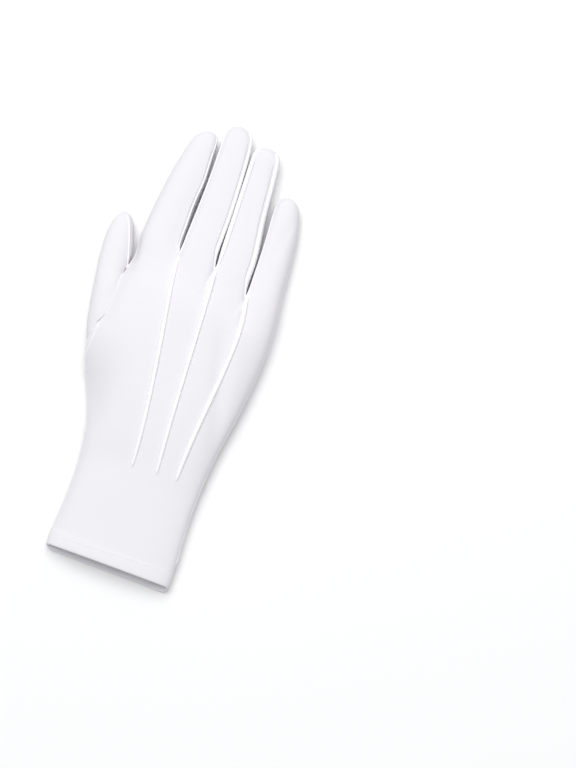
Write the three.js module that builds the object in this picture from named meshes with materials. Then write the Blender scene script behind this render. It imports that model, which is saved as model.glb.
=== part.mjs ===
// A white parade glove for the right hand, lying palm down.
// It is sewn from a back and a palm cut out of thin cloth, three fourchettes (the strips between the fingers),
// a set-in thumb, three raised points on the back of the hand and a turned hem round the cuff.
// Millimetres, +Y towards the fingertips, +X towards the little finger, +Z up from the table.
import * as THREE from "three";

// Driving dimensions: the hand and the cuff.
const HAND_LENGTH = 170; // cuff edge to the base of the index finger
const PALM_WIDTH = 84;
const PALM_HEIGHT = 22;
const WRIST_WIDTH = 64.6;
const WRIST_HEIGHT = 15;
const CUFF_WIDTH = 68.4;
const CUFF_HEIGHT = 13;
const CUFF_SLANT = 2.4; // the thumb side of the cuff edge is this much nearer the fingers
const CUFF_LIP = 1.2; // the under layer of the cuff shows this much beyond the upper one

// Driving dimensions: the fingers. A length runs from the slits to the tip.
const INDEX_LENGTH = 68.4;
const INDEX_WIDTH = 18.9;
const INDEX_HEIGHT = 14;
const MIDDLE_LENGTH = 77.9;
const MIDDLE_WIDTH = 17.1;
const MIDDLE_HEIGHT = 14;
const RING_LENGTH = 76.6;
const RING_WIDTH = 17.4;
const RING_HEIGHT = 13.5;
const LITTLE_LENGTH = 58.9;
const LITTLE_WIDTH = 16.2;
const LITTLE_HEIGHT = 12.8;
const TIP_ROUNDING = 0.49; // the length of a finger's rounded tip, as a share of its width

// Driving dimensions: the cloth and its seams.
const CLOTH = 1.2;
const SEAM_GAP = 0.3;
const HEM_HEIGHT = 8.5;
const HEM_CLOTH = 2;
const HEM_PROUD = 0.15; // how far the turned hem stands outside the cloth above it
const POINT_WIDTH = 1.6;
const POINT_RISE = 1.1;
const POINT_END = 52.6; // cuff edge to the wrist end of the raised points
const THUMB_LENGTH = 110.5; // low end of the thumb's seam to the thumb's tip

// How round the sections are: the power of the curve across the top and across the underside.
const BACK_POWER = 2.25;
const FINGER_POWER = 2.35; // the outer sides of the index and little fingers, and the thumb
const SEAMED_POWER = 3.6; // the squarer sides that a fourchette fills
const PALM_POWER = 4.5;
const PAD_POWER = 3; // across the underside of a finger or the thumb
const PRESSED = 0.08; // the share of the underside's depth that the table presses flat

// Mesh fineness.
const FINGER_COLUMNS = 6;
const SIDE_COLUMNS = 3;
const THUMB_COLUMNS = 18;
const HEM_COLUMNS = 44;

// Sections of the hand. along is a share of HAND_LENGTH; left, right and crownAt are shares of width;
// crown, side and lift (the arch under the wrist) are shares of height.
const HAND_SECTIONS = [
  { along: 0, width: CUFF_WIDTH, left: -0.486, right: 0.514, crownAt: 0.02, height: CUFF_HEIGHT, crown: 1, side: 0.45, lift: 0 },
  { along: 0.06, width: CUFF_WIDTH, left: -0.475, right: 0.508, crownAt: 0.02, height: CUFF_HEIGHT, crown: 1, side: 0.45, lift: 0 },
  { along: 0.15, width: WRIST_WIDTH, left: -0.482, right: 0.527, crownAt: 0.02, height: WRIST_HEIGHT, crown: 0.9, side: 0.42, lift: 0 },
  { along: 0.25, width: WRIST_WIDTH, left: -0.474, right: 0.526, crownAt: 0.02, height: WRIST_HEIGHT, crown: 0.98, side: 0.45, lift: 0.05 },
  { along: 0.34, width: WRIST_WIDTH, left: -0.488, right: 0.542, crownAt: 0, height: WRIST_HEIGHT, crown: 1.1, side: 0.5, lift: 0.11 },
  { along: 0.42, width: PALM_WIDTH, left: -0.407, right: 0.436, crownAt: 0, height: PALM_HEIGHT, crown: 0.83, side: 0.36, lift: 0.05 },
  { along: 0.5, width: PALM_WIDTH, left: -0.469, right: 0.466, crownAt: -0.02, height: PALM_HEIGHT, crown: 0.91, side: 0.36, lift: 0.01 },
  { along: 0.59, width: PALM_WIDTH, left: -0.54, right: 0.497, crownAt: -0.05, height: PALM_HEIGHT, crown: 0.97, side: 0.36, lift: 0 },
  { along: 0.66, width: PALM_WIDTH, left: -0.577, right: 0.515, crownAt: -0.06, height: PALM_HEIGHT, crown: 1, side: 0.36, lift: 0 },
  { along: 0.71, width: PALM_WIDTH, left: -0.579, right: 0.526, crownAt: -0.07, height: PALM_HEIGHT, crown: 1, side: 0.36, lift: 0 },
  { along: 0.77, width: PALM_WIDTH, left: -0.55, right: 0.533, crownAt: -0.07, height: PALM_HEIGHT, crown: 1, side: 0.37, lift: 0 },
  { along: 0.84, width: PALM_WIDTH, left: -0.508, right: 0.53, crownAt: -0.07, height: PALM_HEIGHT, crown: 0.98, side: 0.38, lift: 0 },
  { along: 0.9, width: PALM_WIDTH, left: -0.473, right: 0.523, crownAt: -0.07, height: PALM_HEIGHT, crown: 0.94, side: 0.39, lift: 0 },
  { along: 1.01, width: PALM_WIDTH, left: -0.461, right: 0.503, crownAt: -0.07, height: PALM_HEIGHT, crown: 0.84, side: 0.38, lift: 0 },
];

// Rows of the hand's cloth: the share of HAND_LENGTH at the middle of the hand.
const ROWS_TO_THUMB = [0.11, 0.17, 0.235, 0.3, 0.36];
const ROWS_PAST_THUMB = [0.92, 0.962];

// The thumb's seam, from its low end on the thumb side of the wrist to the web beside the index finger.
// row is that row's place at the middle of the hand. The under stretch crosses the palm, and the upper one runs
// along the edge of the hand. row, underAlong and overAlong are shares of HAND_LENGTH; underAt is a share of PALM_WIDTH
// left of the middle; overIn is the share of PALM_WIDTH by which the seam lies inside the outline.
const THUMB_SEAM = [
  { row: 0.418, underAlong: 0.418, underAt: 0.406, overAlong: 0.418, overIn: 0 },
  { row: 0.456, underAlong: 0.427, underAt: 0.36, overAlong: 0.442, overIn: 0 },
  { row: 0.495, underAlong: 0.451, underAt: 0.292, overAlong: 0.474, overIn: 0 },
  { row: 0.535, underAlong: 0.491, underAt: 0.232, overAlong: 0.517, overIn: 0 },
  { row: 0.576, underAlong: 0.544, underAt: 0.194, overAlong: 0.562, overIn: 0 },
  { row: 0.616, underAlong: 0.603, underAt: 0.181, overAlong: 0.605, overIn: 0.004 },
  { row: 0.656, underAlong: 0.662, underAt: 0.188, overAlong: 0.643, overIn: 0.016 },
  { row: 0.696, underAlong: 0.718, underAt: 0.217, overAlong: 0.682, overIn: 0.044 },
  { row: 0.735, underAlong: 0.766, underAt: 0.266, overAlong: 0.722, overIn: 0.07 },
  { row: 0.773, underAlong: 0.81, underAt: 0.336, overAlong: 0.766, overIn: 0.068 },
  { row: 0.81, underAlong: 0.844, underAt: 0.405, overAlong: 0.81, overIn: 0.048 },
  { row: 0.846, underAlong: 0.868, underAt: 0.451, overAlong: 0.846, overIn: 0.024 },
  { row: 0.866, underAlong: 0.877, underAt: 0.469, overAlong: 0.867, overIn: 0.009 },
  { row: 0.882, underAlong: 0.882, underAt: 0.474, overAlong: 0.882, overIn: 0 },
];

// Sections of the thumb. along is a share of THUMB_LENGTH from the seam's low end; left, crownAt, keelAt and right are
// shares of PALM_WIDTH from the middle of the hand; crown and side are shares of THUMB_HEIGHT.
const THUMB_HEIGHT = 14.5;
const THUMB_TIP_RADIUS = 8;
const THUMB_SECTIONS = [
  { along: 0, left: -0.407, crownAt: -0.38, keelAt: -0.4, right: -0.3, crown: 0.9, side: 0.55 },
  { along: 0.1, left: -0.451, crownAt: -0.39, keelAt: -0.37, right: -0.3, crown: 0.95, side: 0.55 },
  { along: 0.2, left: -0.506, crownAt: -0.41, keelAt: -0.36, right: -0.31, crown: 1, side: 0.55 },
  { along: 0.3, left: -0.554, crownAt: -0.43, keelAt: -0.372, right: -0.33, crown: 1.04, side: 0.55 },
  { along: 0.4, left: -0.592, crownAt: -0.46, keelAt: -0.395, right: -0.36, crown: 1.05, side: 0.55 },
  { along: 0.5, left: -0.615, crownAt: -0.505, keelAt: -0.43, right: -0.4, crown: 1.05, side: 0.54 },
  { along: 0.62, left: -0.639, crownAt: -0.545, keelAt: -0.505, right: -0.455, crown: 1.03, side: 0.53 },
  { along: 0.733, left: -0.66, crownAt: -0.567, keelAt: -0.567, right: -0.474, crown: 1, side: 0.53 },
  { along: 0.8, left: -0.669, crownAt: -0.575, keelAt: -0.575, right: -0.481, crown: 0.97, side: 0.51 },
  { along: 0.87, left: -0.672, crownAt: -0.584, keelAt: -0.584, right: -0.495, crown: 0.91, side: 0.48 },
  { along: 0.93, left: -0.664, crownAt: -0.588, keelAt: -0.588, right: -0.512, crown: 0.85, side: 0.46 },
  { along: 1, left: -0.648, crownAt: -0.594, keelAt: -0.594, right: -0.54, crown: 0.8, side: 0.45 },
];
const THUMB_ROWS = [0.775, 0.825, 0.875];

// Paths of the three raised points, as shares of PALM_WIDTH from the middle of the hand.
const POINT_PATHS = [
  { along: 0, first: 0.005, second: 0.145, third: 0.262 },
  { along: 0.31, first: -0.019, second: 0.127, third: 0.256 },
  { along: 0.41, first: -0.031, second: 0.113, third: 0.264 },
  { along: 0.53, first: -0.057, second: 0.102, third: 0.288 },
  { along: 0.65, first: -0.091, second: 0.092, third: 0.312 },
  { along: 0.76, first: -0.127, second: 0.083, third: 0.331 },
  { along: 0.82, first: -0.147, second: 0.078, third: 0.331 },
  { along: 0.88, first: -0.168, second: 0.069, third: 0.308 },
  { along: 0.94, first: -0.187, second: 0.056, third: 0.283 },
  { along: 1, first: -0.2, second: 0.047, third: 0.283 },
];
const POINT_NAMES = ["first", "second", "third"];

// The three slits between the fingers. along is a share of HAND_LENGTH, at a share of PALM_WIDTH from the middle;
// over and under are the heights where the cloth divides, as shares of PALM_HEIGHT.
const SLITS = [
  { along: 0.99, at: -0.2, over: 0.67, under: 0.1 },
  { along: 0.975, at: 0.047, over: 0.68, under: 0.1 },
  { along: 0.926, at: 0.283, over: 0.62, under: 0.1 },
];
const INDEX_SIDE_ALONG = 1; // where the fingers begin on the two outer sides of the hand
const LITTLE_SIDE_ALONG = 0.915;
const KNUCKLE_BLEND = 28; // how far the valleys between the fingers run back over the hand
const UNDER_BLEND = 14;

// The four fingers. at is the middle of each section and width its size across, as shares of PALM_WIDTH and of the
// finger's own width; crown is a share of the finger's own height. along is a share of the finger's length.
const FINGERS = [
  {
    name: "index", reach: INDEX_LENGTH, width: INDEX_WIDTH, height: INDEX_HEIGHT,
    sections: [
      { along: 0, at: -0.335, wide: 1.11, crown: 1.22 },
      { along: 0.15, at: -0.33, wide: 1.07, crown: 1.14 },
      { along: 0.3, at: -0.323, wide: 1.045, crown: 1.07 },
      { along: 0.45, at: -0.314, wide: 1, crown: 1.02 },
      { along: 0.6, at: -0.303, wide: 0.945, crown: 0.97 },
      { along: 0.75, at: -0.288, wide: 0.865, crown: 0.91 },
      { along: 0.87, at: -0.274, wide: 0.775, crown: 0.86 },
      { along: 1, at: -0.259, wide: 0.72, crown: 0.82 },
    ],
  },
  {
    name: "middle", reach: MIDDLE_LENGTH, width: MIDDLE_WIDTH, height: MIDDLE_HEIGHT,
    sections: [
      { along: 0, at: -0.078, wide: 1.14, crown: 1.3 },
      { along: 0.15, at: -0.073, wide: 1.075, crown: 1.19 },
      { along: 0.3, at: -0.07, wide: 1.03, crown: 1.1 },
      { along: 0.45, at: -0.068, wide: 1, crown: 1.04 },
      { along: 0.6, at: -0.067, wide: 0.98, crown: 0.98 },
      { along: 0.75, at: -0.068, wide: 0.955, crown: 0.92 },
      { along: 0.87, at: -0.072, wide: 0.905, crown: 0.87 },
      { along: 1, at: -0.08, wide: 0.84, crown: 0.83 },
    ],
  },
  {
    name: "ring", reach: RING_LENGTH, width: RING_WIDTH, height: RING_HEIGHT,
    sections: [
      { along: 0, at: 0.163, wide: 1.06, crown: 1.27 },
      { along: 0.15, at: 0.163, wide: 1.075, crown: 1.16 },
      { along: 0.3, at: 0.161, wide: 1.08, crown: 1.08 },
      { along: 0.45, at: 0.157, wide: 1.05, crown: 1.03 },
      { along: 0.6, at: 0.152, wide: 1.02, crown: 0.98 },
      { along: 0.75, at: 0.146, wide: 0.97, crown: 0.92 },
      { along: 0.87, at: 0.139, wide: 0.915, crown: 0.87 },
      { along: 1, at: 0.133, wide: 0.83, crown: 0.83 },
    ],
  },
  {
    name: "little", reach: LITTLE_LENGTH, width: LITTLE_WIDTH, height: LITTLE_HEIGHT,
    sections: [
      { along: 0, at: 0.403, wide: 1.19, crown: 1.2 },
      { along: 0.15, at: 0.4, wide: 1.11, crown: 1.12 },
      { along: 0.3, at: 0.399, wide: 1.08, crown: 1.06 },
      { along: 0.45, at: 0.396, wide: 1.05, crown: 1.02 },
      { along: 0.6, at: 0.39, wide: 1.025, crown: 0.97 },
      { along: 0.75, at: 0.381, wide: 0.97, crown: 0.92 },
      { along: 0.87, at: 0.371, wide: 0.85, crown: 0.87 },
      { along: 1, at: 0.358, wide: 0.78, crown: 0.83 },
    ],
  },
];
const FINGER_SIDE = 0.46; // the height of a finger's widest line, as a share of its crown

// Rows of a finger: its shaft as shares of its length, and its rounded tip in degrees.
// over and under say how far above and below the widest line the fourchette's two seams lie, as shares.
const SHAFT_ROWS = [
  { along: 0.03, over: 0.73, under: 0.78 },
  { along: 0.09, over: 0.71, under: 0.84 },
  { along: 0.2, over: 0.69, under: 0.89 },
  { along: 0.33, over: 0.68, under: 0.9 },
  { along: 0.46, over: 0.67, under: 0.9 },
  { along: 0.59, over: 0.66, under: 0.9 },
  { along: 0.72, over: 0.63, under: 0.88 },
];
const TIP_ROWS = [
  { degrees: 0, over: 0.55, under: 0.84 },
  { degrees: 26, over: 0.36, under: 0.6 },
  { degrees: 46, over: 0, under: 0 },
  { degrees: 63, over: 0, under: 0 },
  { degrees: 77, over: 0, under: 0 },
];

// Broad dents in the back of the hand: at is a share of PALM_WIDTH, along and long of HAND_LENGTH,
// wide of PALM_WIDTH and deep of PALM_HEIGHT.
const DENTS = [
  { at: -0.4, along: 0.53, wide: 0.13, long: 0.11, deep: 0.09 },
  { at: 0.02, along: 0.3, wide: 0.35, long: 0.06, deep: 0.03 },
];

const radians = THREE.MathUtils.degToRad;
const lerp = THREE.MathUtils.lerp;
const clamp = THREE.MathUtils.clamp;

// A column of a table at a place along it, on a smooth curve through its rows.
function columnAt(table, column, along) {
  const value = (row) => column(table[row]);
  let i = 0;
  while (i < table.length - 2 && table[i + 1].along < along) i++;
  const span = table[i + 1].along - table[i].along;
  const slope = (row) => {
    const before = Math.max(row - 1, 0);
    const after = Math.min(row + 1, table.length - 1);
    return (value(after) - value(before)) / (table[after].along - table[before].along);
  };
  const t = clamp((along - table[i].along) / span, 0, 1);
  const rise = t * t * (3 - 2 * t);
  const leaving = t * (1 - t) * (1 - t) * span * slope(i);
  const arriving = t * t * (1 - t) * span * slope(i + 1);
  return lerp(value(i), value(i + 1), rise) + leaving - arriving;
}

// A section is a closed curve in X and Z: its left and right ends lie at the heights sideLeft and sideRight,
// its crown above crownAt, and its underside's middle at keelAt, down at floor.
function handSection(y) {
  const at = (column) => columnAt(HAND_SECTIONS, column, y / HAND_LENGTH);
  const side = at((row) => row.side * row.height);
  return {
    left: at((row) => row.left * row.width),
    right: at((row) => row.right * row.width),
    crownAt: at((row) => row.crownAt * row.width),
    keelAt: at((row) => row.crownAt * row.width),
    crown: at((row) => row.crown * row.height),
    sideLeft: side,
    sideRight: side,
    floor: Math.max(0, at((row) => row.lift * row.height)),
    power: BACK_POWER,
    underPower: PALM_POWER,
  };
}

// The power of a section's curve over its left or right half.
function powerOver(section, onLeft) {
  return (onLeft ? section.leftPower : section.rightPower) ?? section.power;
}

function sectionPoint(section, angle, y) {
  const above = Math.sin(angle) >= 0;
  const turned = Math.cos(angle);
  const power = 2 / (above ? powerOver(section, turned < 0) : section.underPower);
  const across = Math.sign(turned) * Math.abs(turned) ** power;
  const up = Math.abs(Math.sin(angle)) ** power;
  const onLeft = across < 0;
  const center = above ? section.crownAt : section.keelAt;
  const right = above ? section.right : (section.underRight ?? section.right);
  const half = onLeft ? center - section.left : right - center;
  const side = onLeft ? section.sideLeft : section.sideRight;
  const depth = side - section.floor;
  const underside = section.floor + (depth * Math.max(0, 1 - up - PRESSED)) / (1 - PRESSED);
  const z = above ? side + (section.crown - side) * up : underside;
  return new THREE.Vector3(center + across * half, y, z);
}

// The angle at which a section stands over x, on its upper side or its underside.
function angleOver(section, x, above) {
  const center = above ? section.crownAt : section.keelAt;
  const half = x < center ? center - section.left : section.right - center;
  const across = clamp((x - center) / half, -1, 1);
  const power = above ? powerOver(section, x < center) : section.underPower;
  const turned = Math.sign(across) * Math.abs(across) ** (power / 2);
  return Math.acos(turned) * (above ? 1 : -1);
}

// The angle at which a section's seamed side has a given share of the height above, or of the depth below, its
// widest line.
function angleAtShare(section, share, above) {
  const power = (above ? section.power : section.underPower) / 2;
  const depth = above ? share : share * (1 - PRESSED);
  return Math.asin(clamp(depth, 0, 1) ** power) * (above ? 1 : -1);
}

// Points along a section between two angles, evenly spaced, whose y and section may change on the way.
function stretch(from, to, columns, sectionOf, yOf) {
  const fine = 90;
  const angleOf = (share) => lerp(from, to, share);
  const pointOf = (share) => sectionPoint(sectionOf(0.5), angleOf(share), 0);
  const lengths = [0];
  for (let i = 1; i <= fine; i++) lengths.push(lengths[i - 1] + pointOf(i / fine).distanceTo(pointOf((i - 1) / fine)));
  const points = [];
  for (let column = 0, i = 0; column <= columns; column++) {
    const wanted = (lengths[fine] * column) / columns;
    while (i < fine - 1 && lengths[i + 1] < wanted) i++;
    const step = Math.max(lengths[i + 1] - lengths[i], 1e-9);
    const share = (i + clamp((wanted - lengths[i]) / step, 0, 1)) / fine;
    const u = column / columns;
    points.push(sectionPoint(sectionOf(u), angleOf(share), yOf(u)));
  }
  return points;
}

// Moves a row of points so that it starts and ends exactly where its neighbours do.
function pinned(points, start, end, reach = 3) {
  const last = points.length - 1;
  const startMove = start.clone().sub(points[0]);
  const endMove = end.clone().sub(points[last]);
  return points.map((p, i) =>
    p.clone().addScaledVector(startMove, (1 - i / last) ** reach).addScaledVector(endMove, (i / last) ** reach),
  );
}

const easing = (share) => THREE.MathUtils.smoothstep(share, 0, 1);

// The whole glove's outer skin. Every piece adds its patches here, so that the pieces share their seam points
// and take their thickness along the same directions.
const skin = { points: [], places: new Map(), pieces: new Map() };

function skinPoint(p) {
  const key = [p.x, p.y, p.z].map((v) => Math.round(v * 500)).join();
  if (!skin.places.has(key)) {
    skin.places.set(key, skin.points.length);
    skin.points.push(p.clone());
  }
  return skin.places.get(key);
}

// Adds a patch: rows of points, seen from outside with the rows going up and the columns going right.
function addPatch(piece, rows, turned = false) {
  const grid = rows.map((row) => row.map(skinPoint));
  if (!skin.pieces.has(piece)) skin.pieces.set(piece, []);
  const faces = skin.pieces.get(piece);
  const add = (a, b, c) => {
    if (a === b || b === c || a === c) return;
    faces.push(turned ? [a, c, b] : [a, b, c]);
  };
  const apart = (a, b) => skin.points[a].distanceTo(skin.points[b]);
  for (let i = 0; i + 1 < grid.length; i++) {
    for (let j = 0; j + 1 < grid[i].length; j++) {
      const [a, b, c, d] = [grid[i][j], grid[i][j + 1], grid[i + 1][j + 1], grid[i + 1][j]];
      if (apart(a, c) <= apart(b, d) + 1e-4) {
        add(a, b, c);
        add(a, c, d);
      } else {
        add(a, b, d);
        add(b, c, d);
      }
    }
  }
  return grid;
}

// Where the hem's upper edge and the cloth's lower edge meet, allowing for the cuff's slant.
function cuffEdge(x, share) {
  const slant = CUFF_SLANT * clamp(0.5 - x / CUFF_WIDTH, 0, 1);
  return slant + share;
}

const slitPlaces = SLITS.map((slit) => ({
  x: slit.at * PALM_WIDTH,
  y: slit.along * HAND_LENGTH,
  over: slit.over * PALM_HEIGHT,
  under: slit.under * PALM_HEIGHT,
}));

// The y of each of a row's five posts: the thumb side, the three slits' lines and the little finger's side.
const POST_ENDS = [INDEX_SIDE_ALONG, ...SLITS.map((slit) => slit.along), LITTLE_SIDE_ALONG].map((a) => a * HAND_LENGTH);
const FIRST_ROW = HEM_HEIGHT / HAND_LENGTH;

function postY(row, post, x) {
  const progress = (row - FIRST_ROW) / (1 - FIRST_ROW);
  return lerp(cuffEdge(x, HEM_HEIGHT), POST_ENDS[post], progress);
}

const HAND_ROWS = [
  { row: FIRST_ROW },
  ...ROWS_TO_THUMB.map((row) => ({ row })),
  ...THUMB_SEAM.map((seam) => ({ row: seam.row, seam })),
  ...ROWS_PAST_THUMB.map((row) => ({ row })),
  { row: 1 },
];

function sidePoint(y, left) {
  const section = handSection(y);
  return sectionPoint(section, left ? Math.PI : 0, y);
}

// Where a row starts on the thumb side: on the outer seam, or on the thumb's own seam.
function rowStart(entry, above) {
  if (entry.seam) {
    const along = above ? entry.seam.overAlong : entry.seam.underAlong;
    const y = along * HAND_LENGTH;
    const section = handSection(y);
    const first = entry.seam === THUMB_SEAM[0] || entry.seam === THUMB_SEAM[THUMB_SEAM.length - 1];
    if (first) return sidePoint(entry.seam.overAlong * HAND_LENGTH, true);
    if (above) {
      const x = section.left + entry.seam.overIn * PALM_WIDTH;
      return sectionPoint(section, angleOver(section, x, true), y);
    }
    return sectionPoint(section, angleOver(section, -entry.seam.underAt * PALM_WIDTH, false), y);
  }
  return sidePoint(postY(entry.row, 0, -CUFF_WIDTH / 2), true);
}

function pointPath(post, y) {
  return columnAt(POINT_PATHS, (row) => row[POINT_NAMES[post - 1]] * PALM_WIDTH, y / HAND_LENGTH);
}

function dented(p) {
  for (const dent of DENTS) {
    const across = (p.x - dent.at * PALM_WIDTH) / (dent.wide * PALM_WIDTH);
    const along = (p.y - dent.along * HAND_LENGTH) / (dent.long * HAND_LENGTH);
    p.z -= dent.deep * PALM_HEIGHT * Math.exp(-(across ** 2 + along ** 2));
  }
  return p;
}

// A row of the hand's cloth from the thumb side to the little finger's side, over the back or under the palm.
function handRow(entry, above) {
  const start = rowStart(entry, above);
  const end = sidePoint(postY(entry.row, 4, CUFF_WIDTH / 2), false);
  const slitShare = (post) => (slitPlaces[post - 1].x - sideXs.left) / (sideXs.right - sideXs.left);
  const posts = [start, null, null, null, end];
  for (let post = 1; post <= 3; post++) {
    const xAt = (y) => (above ? pointPath(post, y) : lerp(start.x, end.x, slitShare(post)));
    const y = postY(entry.row, post, xAt(entry.row * HAND_LENGTH));
    const x = xAt(y);
    const section = handSection(y);
    posts[post] = sectionPoint(section, angleOver(section, x, above), y);
  }
  const points = [];
  for (let block = 0; block < 4; block++) {
    const from = posts[block];
    const to = posts[block + 1];
    const yOf = (u) => lerp(from.y, to.y, u);
    const sectionOf = (u) => handSection(yOf(u));
    const open = block === 0 && !entry.seam;
    const startAngle = open ? (above ? Math.PI : -Math.PI) : angleOver(handSection(from.y), from.x, above);
    const endAngle = block === 3 ? 0 : angleOver(handSection(to.y), to.x, above);
    let row = stretch(startAngle, endAngle, FINGER_COLUMNS, sectionOf, yOf);
    row = pinned(row, from, to);
    const near = (post) => 1 - (POST_ENDS[post] - posts[post].y) / (above ? KNUCKLE_BLEND : UNDER_BLEND);
    const archFrom = archPost(posts, block, above);
    const archTo = archPost(posts, block + 1, above);
    const arch = archRow(FINGERS[block], archFrom, archTo, above, yOf);
    row = row.map((p, i) => p.clone().lerp(arch[i], easing(lerp(near(block), near(block + 1), i / FINGER_COLUMNS))));
    points.push(...row.slice(block === 0 ? 0 : 1).map((p, i) => (above && !isSeamEnd(block, i, entry) ? dented(p) : p)));
  }
  return points;
}

// The two ends of a row lie on seams that the palm shares, so they aren't dented.
function isSeamEnd(block, i, entry) {
  return (block === 0 && i === 0) || (block === 3 && i === FINGER_COLUMNS - 1) || entry.row === 1;
}

// Near the slits a row turns into four arches, one for each finger, with valleys between them.
function archPost(posts, post, above) {
  if (post === 0 || post === 4) return posts[post];
  const slit = slitPlaces[post - 1];
  return new THREE.Vector3(posts[post].x, posts[post].y, above ? slit.over : slit.under);
}

function archRow(finger, from, to, above, yOf) {
  const section = fingerSection(finger, 0, 1);
  const depth = above ? section.crown - section.sideLeft : section.sideLeft;
  const angleTo = (p) => angleAtShare(section, Math.abs(p.z - section.sideLeft) / depth, above);
  const half = above ? Math.PI : -Math.PI;
  const start = finger === FINGERS[0] ? half : half - angleTo(from);
  const end = finger === FINGERS[3] ? 0 : angleTo(to);
  return pinned(stretch(start, end, FINGER_COLUMNS, () => section, yOf), from, to, 1);
}

const sideXs = {
  left: sidePoint(POST_ENDS[0], true).x,
  right: sidePoint(POST_ENDS[4], false).x,
};

// A finger's middle, width, crown and widest line at a share of its length.
function fingerShape(finger, along) {
  const at = (column) => columnAt(finger.sections, column, along);
  const crown = at((row) => row.crown) * finger.height;
  return {
    middle: at((row) => row.at) * PALM_WIDTH,
    half: (at((row) => row.wide) * finger.width) / 2,
    crown,
    side: lerp(handSection(HAND_LENGTH).sideLeft, crown * FINGER_SIDE, THREE.MathUtils.smoothstep(along, 0, 0.4)),
  };
}

// A finger's section at a share of its length, drawn in towards its end by the rounding of the tip.
function fingerSection(finger, along, rounding) {
  const shape = fingerShape(finger, along);
  const floor = shape.side * (1 - rounding);
  return {
    left: shape.middle - shape.half * rounding,
    right: shape.middle + shape.half * rounding,
    crownAt: shape.middle,
    keelAt: shape.middle,
    crown: shape.side + (shape.crown - shape.side) * rounding,
    sideLeft: shape.side,
    sideRight: shape.side,
    floor,
    power: SEAMED_POWER,
    leftPower: finger === FINGERS[0] ? FINGER_POWER : SEAMED_POWER,
    rightPower: finger === FINGERS[FINGERS.length - 1] ? FINGER_POWER : SEAMED_POWER,
    underPower: PAD_POWER,
  };
}

// Every row of a finger beyond its slits, with its place along the finger and the seams of its fourchettes.
function fingerRows(finger, length) {
  const tipStart = 1 - (finger.width * TIP_ROUNDING) / length;
  const shaft = SHAFT_ROWS.map((row) => ({ ...row, along: (row.along / 0.84) * tipStart, rounding: 1 }));
  const tip = TIP_ROWS.map((row) => ({
    ...row,
    along: 1 - ((finger.width * TIP_ROUNDING) / length) * (1 - Math.sin(radians(row.degrees))),
    rounding: Math.cos(radians(row.degrees)),
  }));
  return [...shaft, ...tip];
}

const fingers = FINGERS.map((finger, number) => {
  const startY = [POST_ENDS[number], POST_ENDS[number + 1]];
  const tipY = (startY[0] + startY[1]) / 2 + finger.reach;
  const length = tipY - Math.min(...startY);
  const outer = { left: number === 0, right: number === FINGERS.length - 1 };
  const rows = fingerRows(finger, length).map((row) => {
    const section = fingerSection(finger, row.along, row.rounding);
    const yAt = (x) => {
      const across = clamp((x - section.left) / (section.right - section.left), 0, 1);
      return lerp(lerp(startY[0], startY[1], across), tipY, row.along);
    };
    const place = (angle) => {
      const p = sectionPoint(section, angle, 0);
      return p.setY(yAt(p.x));
    };
    const over = angleAtShare(section, row.over, true);
    const under = angleAtShare(section, row.under, false);
    return { ...row, section, yAt, place, over, under };
  });
  return { ...finger, number, outer, rows, tipY };
});

function placed(points, row) {
  return points.map((p) => p.setY(row.yAt(p.x)));
}

// The last row closes a finger's tip along the line where back and palm meet.
const TIP_EDGE = 0.7; // that line's share of the width before it

function tipRow(finger) {
  const last = finger.rows[finger.rows.length - 1].section;
  const middle = (last.left + last.right) / 2;
  const half = ((last.right - last.left) / 2) * TIP_EDGE;
  const points = [];
  for (let i = 0; i <= FINGER_COLUMNS; i++) {
    const across = (2 * i) / FINGER_COLUMNS - 1;
    points.push(new THREE.Vector3(middle + across * half, finger.tipY, last.sideLeft));
  }
  return points;
}

function fingerPatch(finger, firstRow, above) {
  const rows = [firstRow];
  for (const row of finger.rows) {
    const angle = above ? row.over : row.under;
    const from = finger.outer.left ? Math.PI * (above ? 1 : -1) : Math.PI * (above ? 1 : -1) - angle;
    const to = finger.outer.right ? 0 : angle;
    const points = stretch(from, to, FINGER_COLUMNS, () => row.section, () => 0);
    rows.push(placed(points, row));
  }
  rows.push(tipRow(finger));
  return rows;
}

function addHand() {
  const grids = {};
  for (const [piece, above] of [["back_panel", true], ["palm_panel", false]]) {
    const rows = HAND_ROWS.map((entry) => handRow(entry, above));
    grids[piece] = { rows, ids: addPatch(piece, rows, !above) };
    const crotch = rows[rows.length - 1];
    for (const finger of fingers) {
      const first = finger.number * FINGER_COLUMNS;
      addPatch(piece, fingerPatch(finger, crotch.slice(first, first + FINGER_COLUMNS + 1), above), !above);
    }
  }
  return grids;
}

// A fourchette runs down one finger's side, round the slit's end and up its neighbour's side.
function addFourchette(slit, crotchOver, crotchUnder) {
  const [before, after] = [fingers[slit], fingers[slit + 1]];
  const sideRow = (row, right) => {
    const turn = right ? (angle) => angle : (angle) => Math.PI - angle;
    const points = stretch(turn(row.over), turn(row.under), SIDE_COLUMNS, () => row.section, () => 0);
    return placed(points, row);
  };
  const middleRow = [];
  for (let i = 0; i <= SIDE_COLUMNS; i++) middleRow.push(crotchOver.clone().lerp(crotchUnder, i / SIDE_COLUMNS));
  const lastRow = TIP_ROWS.findIndex((row) => row.over === 0) + SHAFT_ROWS.length;
  const down = before.rows.slice(0, lastRow + 1).reverse().map((row) => sideRow(row, true));
  const up = after.rows.slice(0, lastRow + 1).map((row) => sideRow(row, false));
  addPatch(`fourchette_${before.name}_${after.name}`, [...down, middleRow, ...up], true);
}

// The thumb's section at y, drawn in by the rounding of its tip.
const THUMB_START = THUMB_SEAM[0].overAlong * HAND_LENGTH;

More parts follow.
